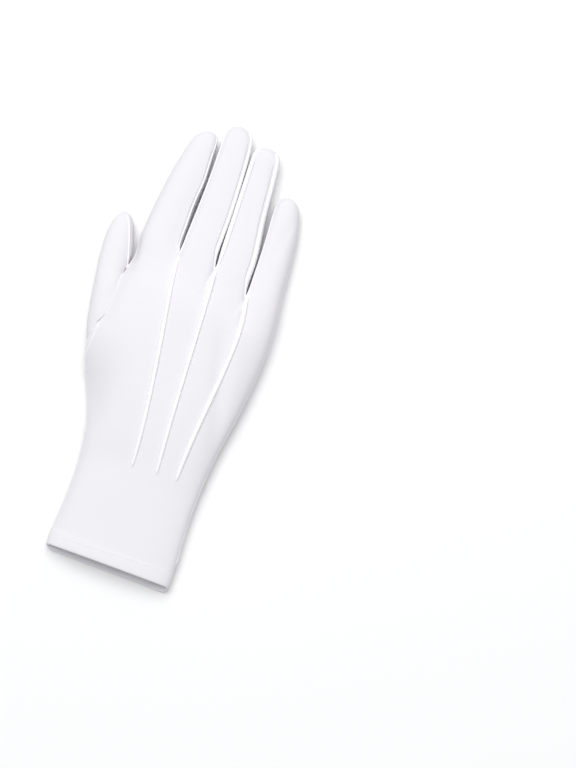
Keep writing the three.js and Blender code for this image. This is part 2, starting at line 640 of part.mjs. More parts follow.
function thumbSection(y, rounding = 1) {
  const at = (column) => columnAt(THUMB_SECTIONS, column, (y - THUMB_START) / THUMB_LENGTH);
  const side = at((row) => row.side) * THUMB_HEIGHT;
  const crownAt = at((row) => row.crownAt) * PALM_WIDTH;
  return {
    left: lerp(crownAt, at((row) => row.left) * PALM_WIDTH, rounding),
    right: lerp(crownAt, at((row) => row.right) * PALM_WIDTH, rounding),
    crownAt,
    keelAt: lerp(crownAt, at((row) => row.keelAt) * PALM_WIDTH, rounding),
    crown: lerp(side, at((row) => row.crown) * THUMB_HEIGHT, rounding),
    sideLeft: side,
    sideRight: side,
    floor: lerp(side, handSection(y).floor, rounding),
    power: FINGER_POWER,
    underPower: PAD_POWER,
  };
}

// Below the web the thumb is an open strip from its under seam, round the edge of the hand, to its upper seam.
function thumbBaseRow(seam) {
  const entry = { row: seam.row, seam };
  const from = rowStart(entry, false);
  const to = rowStart(entry, true);
  const yOf = (u) => lerp(from.y, to.y, u);
  const onSide = seam.overIn === 0;
  const start = thumbSection(from.y);
  const startAngle = angleAtShare(start, (start.sideRight - from.z) / (start.sideRight - start.floor), false);
  const sectionOf = (u) => {
    const section = thumbSection(yOf(u));
    section.underRight = section.keelAt + (from.x - section.keelAt) / Math.cos(startAngle) ** (2 / PAD_POWER);
    if (onSide) {
      section.left = to.x;
      section.sideLeft = to.z;
    }
    return section;
  };
  const endAngle = onSide ? Math.PI : angleOver(sectionOf(1), to.x, true);
  return pinned(stretch(startAngle, endAngle - 2 * Math.PI, THUMB_COLUMNS, sectionOf, yOf), from, to);
}

function addThumb() {
  const web = rowStart({ seam: THUMB_SEAM[THUMB_SEAM.length - 1] }, true);
  const low = rowStart({ seam: THUMB_SEAM[0] }, true);
  const rows = [Array.from({ length: THUMB_COLUMNS + 1 }, () => low)];
  for (const seam of THUMB_SEAM.slice(1, -1)) rows.push(thumbBaseRow(seam));
  const loop = (y, rounding) => {
    const section = thumbSection(y, rounding);
    const points = stretch(0, -2 * Math.PI, THUMB_COLUMNS, () => section, () => y);
    points[THUMB_COLUMNS].copy(points[0]);
    return points;
  };
  rows.push(pinned(loop(web.y, 1), web, web, 4));
  for (const along of THUMB_ROWS) rows.push(loop(THUMB_START + along * THUMB_LENGTH, 1));
  const tipY = THUMB_START + THUMB_LENGTH;
  for (const row of TIP_ROWS) {
    const back = THUMB_TIP_RADIUS * (1 - Math.sin(radians(row.degrees)));
    rows.push(loop(tipY - back, Math.cos(radians(row.degrees))));
  }
  const end = thumbSection(tipY, 0);
  const tip = new THREE.Vector3(end.crownAt, tipY, end.sideLeft);
  rows.push(Array.from({ length: THUMB_COLUMNS + 1 }, () => tip));
  addPatch("thumb", rows);
}

const grids = addHand();
for (let slit = 0; slit < SLITS.length; slit++) {
  const column = (slit + 1) * FINGER_COLUMNS;
  const last = (piece) => grids[piece].rows[grids[piece].rows.length - 1];
  addFourchette(slit, last("back_panel")[column], last("palm_panel")[column]);
}
addThumb();

// Directions out of the cloth, averaged over every piece that meets at a point.
const outwards = skin.points.map(() => new THREE.Vector3());
for (const faces of skin.pieces.values()) {
  for (const face of faces) {
    const [a, b, c] = face.map((i) => skin.points[i]);
    const normal = b.clone().sub(a).cross(c.clone().sub(a));
    for (const i of face) outwards[i].add(normal);
  }
}
for (const direction of outwards) direction.normalize();

// How far, and which way, each point on a piece's edge draws back to leave the gap at its seams.
function drawnBack(faces) {
  const owner = new Map();
  for (const face of faces) for (let k = 0; k < 3; k++) owner.set(`${face[k]},${face[(k + 1) % 3]}`, face);
  const edges = [...owner.keys()].map((key) => key.split(",").map(Number)).filter(([a, b]) => !owner.has(`${b},${a}`));
  const inwards = new Map();
  for (const [a, b] of edges) {
    const along = skin.points[b].clone().sub(skin.points[a]);
    for (const i of [a, b]) {
      if (!inwards.has(i)) inwards.set(i, []);
      inwards.get(i).push(outwards[i].clone().cross(along).normalize());
    }
  }
  const moves = new Map();
  for (const [i, sides] of inwards) {
    const sum = sides.reduce((total, side) => total.add(side), new THREE.Vector3());
    const meeting = Math.max(1 + sides[0].dot(sides[sides.length - 1]), 0.08);
    moves.set(i, sum.multiplyScalar(SEAM_GAP / 2 / meeting));
  }
  return { moves, edges };
}

// A piece of cloth: its patch of the skin, the same patch one thickness further in, and the cut edge between them.
function clothGeometry(faces) {
  const { moves, edges } = drawnBack(faces);
  const outer = (i) => skin.points[i].clone().add(moves.get(i) ?? new THREE.Vector3());
  const inner = (i) => outer(i).addScaledVector(outwards[i], -CLOTH);
  const corners = [];
  const add = (a, b, c) => corners.push(...a.toArray(), ...b.toArray(), ...c.toArray());
  for (const [a, b, c] of faces) {
    add(outer(a), outer(b), outer(c));
    add(inner(a), inner(c), inner(b));
  }
  for (const [a, b] of edges) {
    add(outer(b), outer(a), inner(a));
    add(outer(b), inner(a), inner(b));
  }
  return new THREE.BufferGeometry().setAttribute("position", new THREE.Float32BufferAttribute(corners, 3));
}

// A closed band or bar: rings of points joined in order, either round to the first ring again or with two end caps.
function ringGeometry(rings, closed) {
  const corners = [];
  const add = (a, b, c) => corners.push(...a.toArray(), ...b.toArray(), ...c.toArray());
  const count = rings[0].length;
  const steps = closed ? rings.length : rings.length - 1;
  for (let i = 0; i < steps; i++) {
    const [near, far] = [rings[i], rings[(i + 1) % rings.length]];
    for (let k = 0; k < count; k++) {
      const next = (k + 1) % count;
      add(near[k], near[next], far[next]);
      add(near[k], far[next], far[k]);
    }
  }
  if (!closed) {
    for (let k = 1; k + 1 < count; k++) {
      add(rings[0][0], rings[0][k + 1], rings[0][k]);
      const end = rings[rings.length - 1];
      add(end[0], end[k], end[k + 1]);
    }
  }
  return new THREE.BufferGeometry().setAttribute("position", new THREE.Float32BufferAttribute(corners, 3));
}

// The turned hem: a folded band round the cuff. round is the outline's place, out its distance outside the cloth.
function hemGeometry() {
  const profile = [
    { up: 1, out: HEM_PROUD * 0.4 },
    { up: 0.85, out: HEM_PROUD },
    { up: 0.12, out: HEM_PROUD },
    { up: 0.02, out: HEM_PROUD - HEM_CLOTH * 0.22 },
    { up: 0, out: HEM_PROUD - HEM_CLOTH * 0.6 },
    { up: 0.08, out: HEM_PROUD - HEM_CLOTH },
    { up: 1, out: HEM_PROUD - HEM_CLOTH },
  ];
  const sectionOf = () => handSection(HEM_HEIGHT / 2);
  const outline = stretch(Math.PI, -Math.PI, HEM_COLUMNS, sectionOf, () => 0).slice(0, HEM_COLUMNS);
  const rings = outline.map((p, i) => {
    const before = outline[(i + HEM_COLUMNS - 1) % HEM_COLUMNS];
    const after = outline[(i + 1) % HEM_COLUMNS];
    const out = new THREE.Vector3(before.z - after.z, 0, after.x - before.x).normalize();
    const lip = -CUFF_LIP * clamp(-out.z, 0, 1);
    const top = cuffEdge(p.x, HEM_HEIGHT) - SEAM_GAP / 2;
    const bottom = cuffEdge(p.x, lip);
    return profile.map(({ up, out: proud }) => {
      const q = p.clone().addScaledVector(out, proud);
      q.y = lerp(bottom, top, up);
      q.z = Math.max(q.z, 0);
      return q;
    });
  });
  return ringGeometry(rings, true);
}

// A raised point: a narrow rounded bar that follows one column of the back from its slit towards the wrist.
function pointGeometry(number) {
  const { rows, ids } = grids.back_panel;
  const column = number * FINGER_COLUMNS;
  const stations = [];
  for (let i = 0; i < rows.length; i++) {
    const [left, middle, right] = [-1, 0, 1].map((step) => skin.points[ids[i][column + step]]);
    stations.push({ left, middle, right, out: outwards[ids[i][column]] });
  }
  const between = (a, b, share) => ({
    left: a.left.clone().lerp(b.left, share),
    middle: a.middle.clone().lerp(b.middle, share),
    right: a.right.clone().lerp(b.right, share),
    out: a.out.clone().lerp(b.out, share).normalize(),
  });
  const first = stations.findIndex((s) => s.middle.y > POINT_END);
  const low = stations[first - 1];
  const start = (POINT_END - low.middle.y) / (stations[first].middle.y - low.middle.y);
  const last = stations.length - 1;
  const chosen = [
    { ...between(low, stations[first], start), rise: 0.45 },
    { ...stations[first], rise: 1 },
    ...stations.slice(first + 1, last).map((s) => ({ ...s, rise: 1 })),
    { ...between(stations[last - 1], stations[last], 0.72), rise: 0.9 },
  ];
  const half = POINT_WIDTH / 2;
  const rings = chosen.map(({ left, middle, right, out, rise }) => {
    const toLeft = left.clone().sub(middle).normalize();
    const toRight = right.clone().sub(middle).normalize();
    const seat = (side, share) => middle.clone().addScaledVector(side, half * share).addScaledVector(out, SEAM_GAP);
    const top = (side, share, height) => seat(side, share).addScaledVector(out, POINT_RISE * rise * height);
    return [
      seat(toRight, 1),
      seat(toLeft, 0),
      seat(toLeft, 1),
      top(toLeft, 0.95, 0.5),
      top(toLeft, 0.5, 0.92),
      top(toLeft, 0, 1),
      top(toRight, 0.5, 0.92),
      top(toRight, 0.95, 0.5),
    ];
  });
  return ringGeometry(rings, false);
}

const cloth = new THREE.MeshStandardMaterial({ color: 0xf4f4f8, roughness: 0.85, metalness: 0 });
const gusset = new THREE.MeshStandardMaterial({ color: 0xeeeef3, roughness: 0.85, metalness: 0 });
const folded = new THREE.MeshStandardMaterial({ color: 0xf2f2f6, roughness: 0.82, metalness: 0 });
const corded = new THREE.MeshStandardMaterial({ color: 0xfafafc, roughness: 0.75, metalness: 0 });

function mesh(name, geometry, material) {
  geometry.computeVertexNormals();
  const made = new THREE.Mesh(geometry, material);
  made.name = name;
  return made;
}

const glove = new THREE.Group();
for (const [name, faces] of skin.pieces) {
  glove.add(mesh(name, clothGeometry(faces), name.startsWith("fourchette") ? gusset : cloth));
}
glove.add(mesh("cuff_hem", hemGeometry(), folded));
for (const number of [1, 2, 3]) glove.add(mesh(`back_point_${number}`, pointGeometry(number), corded));

// The frame's origin is the middle of the glove's footprint, on the table.
const box = new THREE.Box3().setFromObject(glove);
const middle = box.getCenter(new THREE.Vector3());
glove.position.set(-middle.x, -middle.y, -box.min.z);

const root = new THREE.Group();
root.add(glove);
export default root;
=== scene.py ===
# %% [markdown]
# # A white parade glove
# The glove lies palm down on a pale table, filled out as if a hand had just left it. It is sewn from thin
# white jersey: a back and a palm, three fourchettes between the fingers and a set-in thumb. Three raised
# points run down the back of the hand, and the cuff is turned up and stitched.
#
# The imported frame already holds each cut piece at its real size. This script gives each one its cloth:
# smooth curves in place of facets, soft dents, raised seams, stitches and a fine knit.
# %% Load the frame
from math import cos, pi, radians, sin

import bpy
import numpy as np
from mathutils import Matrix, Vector
from mathutils.bvhtree import BVHTree
from mathutils.kdtree import KDTree


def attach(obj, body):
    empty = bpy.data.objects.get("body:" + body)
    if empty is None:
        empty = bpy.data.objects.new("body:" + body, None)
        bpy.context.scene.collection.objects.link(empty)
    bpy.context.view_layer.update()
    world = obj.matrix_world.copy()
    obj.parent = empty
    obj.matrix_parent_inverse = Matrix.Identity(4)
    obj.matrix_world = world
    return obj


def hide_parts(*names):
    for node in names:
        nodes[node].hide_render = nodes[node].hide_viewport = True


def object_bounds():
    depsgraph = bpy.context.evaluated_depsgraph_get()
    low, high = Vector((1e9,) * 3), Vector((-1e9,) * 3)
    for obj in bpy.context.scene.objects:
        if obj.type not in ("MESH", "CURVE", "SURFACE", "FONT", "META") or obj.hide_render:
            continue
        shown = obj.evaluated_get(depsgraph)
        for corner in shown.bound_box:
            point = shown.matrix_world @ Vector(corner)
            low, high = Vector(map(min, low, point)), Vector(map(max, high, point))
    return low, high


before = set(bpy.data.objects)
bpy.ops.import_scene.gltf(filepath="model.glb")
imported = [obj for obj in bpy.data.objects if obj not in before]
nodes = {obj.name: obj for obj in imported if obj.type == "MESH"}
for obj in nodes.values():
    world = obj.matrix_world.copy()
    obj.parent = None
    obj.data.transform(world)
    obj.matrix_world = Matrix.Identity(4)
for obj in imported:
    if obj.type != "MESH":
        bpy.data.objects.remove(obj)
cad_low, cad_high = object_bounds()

MM = 0.001  # every size below is in millimetres times this
print("frame holds", len(nodes), "pieces,", [round(v / MM, 1) for v in cad_high - cad_low], "mm")

# %% [markdown]
# ## The camera
# It looks down at the back of the glove from ten degrees off the vertical, turned so that the fingers point
# up and to the right. It could be placed last, by eye. It comes first instead, worked out from two angles
# and a distance, so that every later look is the same one. A long lens keeps the outline flat.
# %% Place the camera
AIM = Vector((65.5, -1.05, 0)) * MM
AZIMUTH, ELEVATION = radians(18), radians(80)
DISTANCE = 952 * MM

back = Vector((sin(AZIMUTH) * cos(ELEVATION), -cos(AZIMUTH) * cos(ELEVATION), sin(ELEVATION)))
bpy.ops.object.camera_add(location=AIM + back * DISTANCE)
camera = bpy.context.object
camera.name = "camera"
camera.rotation_mode = "QUATERNION"
camera.rotation_quaternion = (-back).to_track_quat("-Z", "Y")
camera.data.lens = 85
camera.data.sensor_fit = "VERTICAL"
camera.data.sensor_height = 36
camera.data.clip_end = 10
bpy.context.scene.camera = camera
print("camera stands", round(camera.location.z, 3), "m above the table")

# %% [markdown]
# ## The knit, as one shared shader group
# The cloth is a fine jersey. Its face shows upright columns of small V-shaped loops, a little over half a
# millimetre apart. The loops could be modelled, but there are a great many of them, and at this size they
# are felt as a grain more than seen. So a group of nodes makes the pattern from the piece's own map, which
# is laid in real metres, and every cloth uses it. Its second output is a slow, cloudy mask for the slight
# unevenness of worn cloth.
# %% Join nodes in one call
def link(tree, start, end):
    tree.links.new(start, end)


def math_node(tree, operation, first, second=None):
    node = tree.nodes.new("ShaderNodeMath")
    node.operation = operation
    for socket, value in zip(node.inputs, (first, second)):
        if value is None:
            continue
        if isinstance(value, (int, float)):
            socket.default_value = value
        else:
            link(tree, value, socket)
    return node.outputs[0]


print("helpers for node trees are ready")

# %% Build the knit group
WALES, COURSES = 1700.0, 2100.0  # columns and rows of loops in a metre of cloth
CLOUD_SIZE = 60.0
LOOP_LEAN = 0.55  # how far the arms of each loop slope up to its middle
LOOP_ROUNDING = 0.6
ARM_DEPTH = 0.3


def make_knit_group():
    group = bpy.data.node_groups.new("jersey_knit", "ShaderNodeTree")
    inputs = (("Wales per metre", WALES), ("Courses per metre", COURSES), ("Cloud size", CLOUD_SIZE))
    for name, value in inputs:
        socket = group.interface.new_socket(name, in_out="INPUT", socket_type="NodeSocketFloat")
        socket.default_value = value
    for name in ("Loops", "Cloud"):
        group.interface.new_socket(name, in_out="OUTPUT", socket_type="NodeSocketFloat")
    inside = group.nodes.new("NodeGroupInput")
    outside = group.nodes.new("NodeGroupOutput")
    grain = group.nodes.new("ShaderNodeUVMap")
    grain.uv_map = "cut"
    axes = group.nodes.new("ShaderNodeSeparateXYZ")
    link(group, grain.outputs[0], axes.inputs[0])
    across = math_node(group, "MULTIPLY", axes.outputs[0], inside.outputs["Wales per metre"])
    along = math_node(group, "MULTIPLY", axes.outputs[1], inside.outputs["Courses per metre"])
    column = math_node(group, "SINE", math_node(group, "MULTIPLY", across, pi))
    from_middle = math_node(group, "ABSOLUTE", column)
    slope = math_node(group, "MULTIPLY", from_middle, LOOP_LEAN)
    turn = math_node(group, "MULTIPLY", math_node(group, "ADD", along, slope), 2 * pi)
    arms = math_node(group, "MULTIPLY", math_node(group, "SINE", turn), ARM_DEPTH)
    rounded = math_node(group, "POWER", from_middle, LOOP_ROUNDING)
    loops = math_node(group, "MULTIPLY", math_node(group, "ADD", arms, 1 - ARM_DEPTH), rounded)
    link(group, loops, outside.inputs["Loops"])
    place = group.nodes.new("ShaderNodeTexCoord")
    cloud = group.nodes.new("ShaderNodeTexNoise")
    cloud.inputs["Detail"].default_value = 3
    link(group, place.outputs["Object"], cloud.inputs["Vector"])
    link(group, inside.outputs["Cloud size"], cloud.inputs["Scale"])
    link(group, cloud.outputs[0], outside.inputs["Cloud"])
    return group


knit = make_knit_group()
print("knit group puts out", [s.name for s in knit.interface.items_tree if s.in_out == "OUTPUT"])

# %% [markdown]
# ## The cloths
# White cotton isn't pure white. It is a very light grey with a breath of blue, matt, with a soft sheen
# where the fibres stand up at grazing angles. Each piece could have a material of its own. One recipe with
# a few numbers is plainer, as the cloths differ only a little in tone. The seam cloth is the exception. It
# is painted clearly lighter than the rest, a painted highlight for the light that the welts' rounded tops
# catch, and the seams of the fingers, the raised points and the thumb's two ridges wear it, so that such
# thin welts still show at the size of a picture. The darker thread is painted shade for the fine crease
# beside a seam. Within each cloth, the low parts between the knit's loops are painted a little darker, as
# shade in the grooves.
# %% Make the materials
GROOVE_SHADE = 0.02  # painted shade: the share by which the bottom of a loop, down in the knit's grooves, is darker than its top
LOOPS_IN_TONE, CLOUD_IN_TONE = 0.6, 0.5
MATT, CLOUD_IN_ROUGHNESS = 0.8, 0.12


def cotton(name, colour, loop_depth, wales=WALES):
    material = bpy.data.materials.new(name)
    material.use_nodes = True
    tree = material.node_tree
    surface = tree.nodes["Principled BSDF"]
    surface.inputs["Sheen Weight"].default_value = 0.25
    surface.inputs["Sheen Roughness"].default_value = 0.5
    surface.inputs["Specular IOR Level"].default_value = 0.25
    weave = tree.nodes.new("ShaderNodeGroup")
    weave.node_tree = knit
    weave.inputs["Wales per metre"].default_value = wales
    tone = tree.nodes.new("ShaderNodeMix")
    tone.data_type = "RGBA"
    dark = [c * (1 - GROOVE_SHADE) for c in colour]
    tone.inputs["A"].default_value = (*dark, 1)
    tone.inputs["B"].default_value = (*colour, 1)
    # The tone mixes painted shade in the grooves between the loops with the cloud's random tone.
    mask = math_node(tree, "ADD", math_node(tree, "MULTIPLY", weave.outputs["Loops"], LOOPS_IN_TONE),
                     math_node(tree, "MULTIPLY", weave.outputs["Cloud"], CLOUD_IN_TONE))
    link(tree, mask, tone.inputs["Factor"])
    link(tree, tone.outputs["Result"], surface.inputs["Base Color"])
    uneven = math_node(tree, "MULTIPLY", weave.outputs["Cloud"], CLOUD_IN_ROUGHNESS)
    rough = math_node(tree, "ADD", uneven, MATT)
    link(tree, rough, surface.inputs["Roughness"])
    bump = tree.nodes.new("ShaderNodeBump")
    bump.inputs["Strength"].default_value = 0.35
    bump.inputs["Distance"].default_value = loop_depth
    link(tree, weave.outputs["Loops"], bump.inputs["Height"])
    link(tree, bump.outputs["Normal"], surface.inputs["Normal"])
    return material


glove_cloth = cotton("glove_cloth", (0.80, 0.787, 0.82), 0.12 * MM)
fourchette_cloth = cotton("fourchette_cloth", (0.79, 0.777, 0.81), 0.12 * MM)
hem_cloth = cotton("hem_cloth", (0.805, 0.792, 0.825), 0.10 * MM)
# The seam cloth is painted lighter than the glove: a painted highlight for the light caught by the welts'
# rounded tops.
seam_cloth_painted_highlight = cotton("seam_cloth_painted_highlight", (0.92, 0.91, 0.935), 0.05 * MM, wales=2600.0)
THREAD_PLIES = 6000.0
thread = cotton("sewing_thread", (0.83, 0.83, 0.85), 0.03 * MM, wales=THREAD_PLIES)
# This darker thread is painted shade, for the fine crease where the cloth dips beside a seam.
crease_painted_shade = cotton("crease_painted_shade", (0.6, 0.59, 0.62), 0.03 * MM, wales=THREAD_PLIES)
finishes = (glove_cloth, fourchette_cloth, hem_cloth, seam_cloth_painted_highlight, thread, crease_painted_shade)
print("cloths:", [finish.name for finish in finishes])

# %% [markdown]
# ## From a cut piece to smooth cloth
# Each CAD piece is a thin wall of flat facets. It could be remeshed, but that would wear away its edges,
# where the seams go. Instead a copy of it has its loose triangles joined and paired into quads, and its cut
# edges creased, so that a subdivision surface rounds the cloth and keeps the edges where they are. Before
# that, the piece is unwrapped as a tailor would lay it flat: the map is scaled to real metres and its long
# way is turned along V, so that the columns of the knit run along the fingers.
# %% Select a piece and reach its points
def only(piece):
    """Selects one piece and nothing else, in object mode, ready for an operator."""
    if bpy.context.object and bpy.context.object.mode != "OBJECT":
        bpy.ops.object.mode_set(mode="OBJECT")
    bpy.ops.object.select_all(action="DESELECT")
    piece.select_set(True)
    bpy.context.view_layer.objects.active = piece


def corners_of(piece):
    """The piece's vertices as an array with a row for each."""
    places = np.zeros(len(piece.data.vertices) * 3)
    piece.data.vertices.foreach_get("co", places)
    return places.reshape(-1, 3)


def put_corners(piece, places):
    piece.data.vertices.foreach_set("co", places.ravel())
    piece.data.update()


print("the first piece has", len(corners_of(nodes["back_panel"])), "points before it is joined up")

# %% Lay a piece flat
WIDEST_TURN = 75  # degrees; the unwrap cuts the piece where it turns more sharply


def lay_flat(piece):
    """Unwraps along the sharp edges and turns each flat shape's long way along V, in metres."""
    mesh = piece.data
    while mesh.uv_layers:
        mesh.uv_layers.remove(mesh.uv_layers[0])
    mesh.uv_layers.new(name="cut")
    only(piece)
    bpy.ops.object.mode_set(mode="EDIT")
    bpy.ops.mesh.select_all(action="SELECT")
    bpy.ops.uv.smart_project(angle_limit=radians(WIDEST_TURN), rotate_method="AXIS_ALIGNED_Y",
                             island_margin=0.002)
    bpy.ops.object.mode_set(mode="OBJECT")
    layer = mesh.uv_layers["cut"]
    flat = np.zeros(len(mesh.loops) * 2)
    layer.data.foreach_get("uv", flat)
    flat = flat.reshape(-1, 2)
    flat_area = 0.0
    for face in mesh.polygons:
        ring = flat[list(face.loop_indices)]
        after = np.roll(ring, -1, axis=0)
        flat_area += abs((ring[:, 0] * after[:, 1] - ring[:, 1] * after[:, 0]).sum()) / 2
    real_area = sum(face.area for face in mesh.polygons)
    layer.data.foreach_set("uv", (flat * (real_area / flat_area) ** 0.5).ravel())
    return real_area


print("pieces are laid flat in metres, cut where they turn more than", WIDEST_TURN, "degrees")

# %% Tell the skins from the cut edge
SAME_SKIN = 30  # faces that meet at less than this many degrees belong to one skin
TURNED_SKIN = (45, 45, 45, 60, 60, 75, 75)  # then the skins grow over the last turned faces, in these rounds


def sort_faces(piece):
    """Numbers the faces: 0 for the outer skin, 1 for the cut edge between the skins, 2 for the inner skin."""
    faces = piece.data.polygons
    beside = {}
    for face in faces:
        for edge in face.edge_keys:
            beside.setdefault(edge, []).append(face.index)

    def neighbours(here, limit):
        for edge in faces[here].edge_keys:
            for other in beside[edge]:
                if other != here and faces[here].normal.angle(faces[other].normal) < radians(limit):
                    yield other

    patches, seen = [], set()
    for start in range(len(faces)):
        if start in seen:
            continue
        patch, waiting = [], [start]
        seen.add(start)
        while waiting:
            here = waiting.pop()
            patch.append(here)
            for other in neighbours(here, SAME_SKIN):
                if other not in seen:
                    seen.add(other)
                    waiting.append(other)
        patches.append(patch)
    patches.sort(key=lambda patch: -sum(faces[i].area for i in patch))
    number = {i: k for k, patch in zip((0, 2), patches) for i in patch}
    corners = {k: {v for i in patch for v in faces[i].vertices} for k, patch in zip((0, 2), patches)}
    for limit in TURNED_SKIN:
        for i in range(len(faces)):
            touched = {number[other] for other in neighbours(i, limit) if other in number}
            if i not in number and len(touched) == 1:
                k = touched.pop()
                if not corners[2 - k].intersection(faces[i].vertices):  # never into the other skin
                    number[i] = k
                    corners[k].update(faces[i].vertices)
    for i in range(len(faces)):
        faces[i].material_index = number.get(i, 1)


print("skins grow in", len(TURNED_SKIN), "rounds")

# %% Make a smooth copy and dress it
def cloth_from(node, name, levels=2):
    """A smooth copy of a CAD piece, with its cut edges kept."""
    piece = bpy.data.objects.new(name, nodes[node].data.copy())
    bpy.context.scene.collection.objects.link(piece)
    piece.data.materials.clear()
    only(piece)
    bpy.ops.mesh.customdata_custom_splitnormals_clear()
    bpy.ops.object.mode_set(mode="EDIT")
    bpy.ops.mesh.select_mode(type="EDGE")
    bpy.ops.mesh.select_all(action="SELECT")
    bpy.ops.mesh.remove_doubles(threshold=0.02 * MM)
    bpy.ops.mesh.tris_convert_to_quads(face_threshold=radians(60), shape_threshold=radians(75))
    bpy.ops.mesh.select_all(action="DESELECT")
    bpy.ops.mesh.edges_select_sharp(sharpness=radians(55))
    bpy.ops.transform.edge_crease(value=1)
    bpy.ops.object.mode_set(mode="OBJECT")
    for _ in range(3):
        piece.data.materials.append(None)
    sort_faces(piece)
    area = lay_flat(piece)
    rounding = piece.modifiers.new("rounding", "SUBSURF")
    rounding.levels = rounding.render_levels = levels
    only(piece)
    bpy.ops.object.modifier_apply(modifier="rounding")
    bpy.ops.object.shade_smooth_by_angle(angle=radians(50))
    print(name, "has", len(piece.data.polygons), "faces on", round(area * 1e4), "square cm of surface")
    return piece


def dress(piece, material, slot, *replaced):
    """Gives a finished piece its cloth, hangs it on the glove's body and hides the CAD pieces that it
    replaces.
    """
    for face in piece.data.polygons:
        face.material_index = 0
    piece.data.materials.clear()
    piece.data.materials.append(material)
    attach(piece, "root")
    if replaced:
        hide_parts(*replaced)


print("ready to copy", len(nodes), "pieces")

# %% [markdown]
# ## The cut pieces
# Back, palm, thumb and fourchettes all go through the same steps, and so does the hem. They are kept in one
# dictionary, because the dents and folds that come next cross from one piece to another.
# %% Smooth the cut pieces
CUT_PIECES = ["back_panel", "palm_panel", "thumb", "fourchette_index_middle", "fourchette_middle_ring",
              "fourchette_ring_little", "cuff_hem"]
cloths = {node: cloth_from(node, node + "_cloth") for node in CUT_PIECES}

# %% [markdown]
# ## Dents and folds
# Empty cloth isn't evenly round. The hollow at the base of the thumb, the slack over the wrist and the
# small wedge on the ring finger are each a soft bump or dent. A cloth simulation would make folds of its
# own, and these are wanted at given places. So one function works out the move of any point from a short
# table, and neighbouring pieces move together, so that no seam opens. A row gives a fold's place, width,
# length, turn and push in millimetres and degrees, and the fill at a slit's foot is a push upwards. Only
# the row that tucks the thumb under the back moves one piece alone.
# %% Move the cloth
FOLDS = [
    {"name": "thumb base hollow", "x": -36, "y": -47, "wide": 11, "long": 19, "turn": -4, "flatten": 0.66},
    {"name": "thumb's inner side", "x": -32.5, "y": 38, "wide": 3, "long": 9, "turn": 8, "push": (1.7, 0, 0)},
    {"name": "thumb valley", "x": -34.3, "y": 8, "wide": 3.5, "long": 12, "turn": -3, "push": (0, 0, -0.9)},
    {"name": "thumb crease", "x": -37, "y": -1.5, "wide": 1.4, "long": 5, "turn": -38, "push": (0, 0, -0.7)},
    {"name": "thumb tucked under", "x": -40, "y": -21, "wide": 5, "long": 12, "push": (1.8, 0, -0.9),
     "only": "thumb"},
    {"name": "wrist slack", "x": -12, "y": -70, "wide": 22, "long": 9, "turn": 20, "push": (0, 0, -0.5)},
    {"name": "index side", "x": -12.8, "y": 58, "wide": 1.8, "long": 17, "push": (2.1, 0, 0)},
    {"name": "index side, upper", "x": -11.8, "y": 88, "wide": 1.9, "long": 15, "push": (1.9, 0, 0)},
    {"name": "middle side", "x": 6.8, "y": 70, "wide": 2.1, "long": 38, "push": (2.5, 0, 0)},
    {"name": "ring side", "x": 27.6, "y": 50, "wide": 1.9, "long": 18, "push": (2.1, 0, 0)},
    {"name": "index slit", "x": -11, "y": 46, "wide": 3.5, "long": 6, "push": (1.1, -2.2, 0)},
    {"name": "middle slit", "x": 9.8, "y": 43.5, "wide": 3.5, "long": 6, "push": (1.1, -1.6, 0)},
    {"name": "ring slit", "x": 29.6, "y": 35.5, "wide": 3.5, "long": 7, "push": (0.7, -2.6, 0)},
    {"name": "index slit's foot", "x": -10, "y": 37, "wide": 1.8, "long": 6, "push": (0, 0, 0.6)},
    {"name": "middle slit's foot", "x": 11.5, "y": 35, "wide": 1.8, "long": 8, "push": (0, 0, 1.1)},
    {"name": "ring slit's foot", "x": 31.2, "y": 27.5, "wide": 1.9, "long": 7, "push": (0, 0, 1.3)},
    {"name": "ring wedge", "x": 20.5, "y": 74, "wide": 1.5, "long": 9, "turn": 16, "push": (0, 0, -0.6)},
    {"name": "ring tip", "x": 24, "y": 98, "wide": 1.7, "long": 10, "turn": 14, "push": (0, 0, -0.6)},
    {"name": "little slack", "x": 40, "y": 70, "wide": 2.5, "long": 15, "turn": -12, "push": (0, 0, -0.4)},
    {"name": "hollow of the back", "x": 14, "y": -12, "wide": 20, "long": 34, "push": (0, 0, -1.5)},
    {"name": "little edge slack", "x": 34, "y": -18, "wide": 5, "long": 34, "turn": 14, "push": (0, 0, -1.7)},
]


# Up to the first height, in mm, a point belongs to the palm, and from the second on to the back.
PALM_TOP, BACK_FROM = 2, 7


def share_of_back(places):
    """From 0 for points on the palm's side to 1 for those on the back."""
    return np.clip((places[:, 2] / MM - PALM_TOP) / (BACK_FROM - PALM_TOP), 0, 1)


def eased(share):
    """Turns a straight rise from 0 to 1 into a soft one."""
    return share * share * (3 - 2 * share)


def fold_moves(node, places):
    """How far each point of a piece moves for all the folds together."""
    moves = np.zeros_like(places)
    upper = eased(share_of_back(places))
    for fold in FOLDS:
        if fold.get("only", node) != node:
            continue
        turn = radians(fold.get("turn", 0))
        dx, dy = places[:, 0] / MM - fold["x"], places[:, 1] / MM - fold["y"]
        across = (dx * cos(turn) + dy * sin(turn)) / fold["wide"]
        along = (dy * cos(turn) - dx * sin(turn)) / fold["long"]
        bell = np.exp(-(across ** 2) - along ** 2)
        if "flatten" in fold:
            moves[:, 2] -= bell * fold["flatten"] * np.maximum(places[:, 2] - MM, 0)
        else:
            moves += (bell * upper)[:, None] * np.array(fold["push"]) * MM
    return moves


for node, cloth in cloths.items():
    places = corners_of(cloth)
    put_corners(cloth, places + fold_moves(node, places))
print(len(FOLDS), "folds and dents on", len(cloths), "pieces")

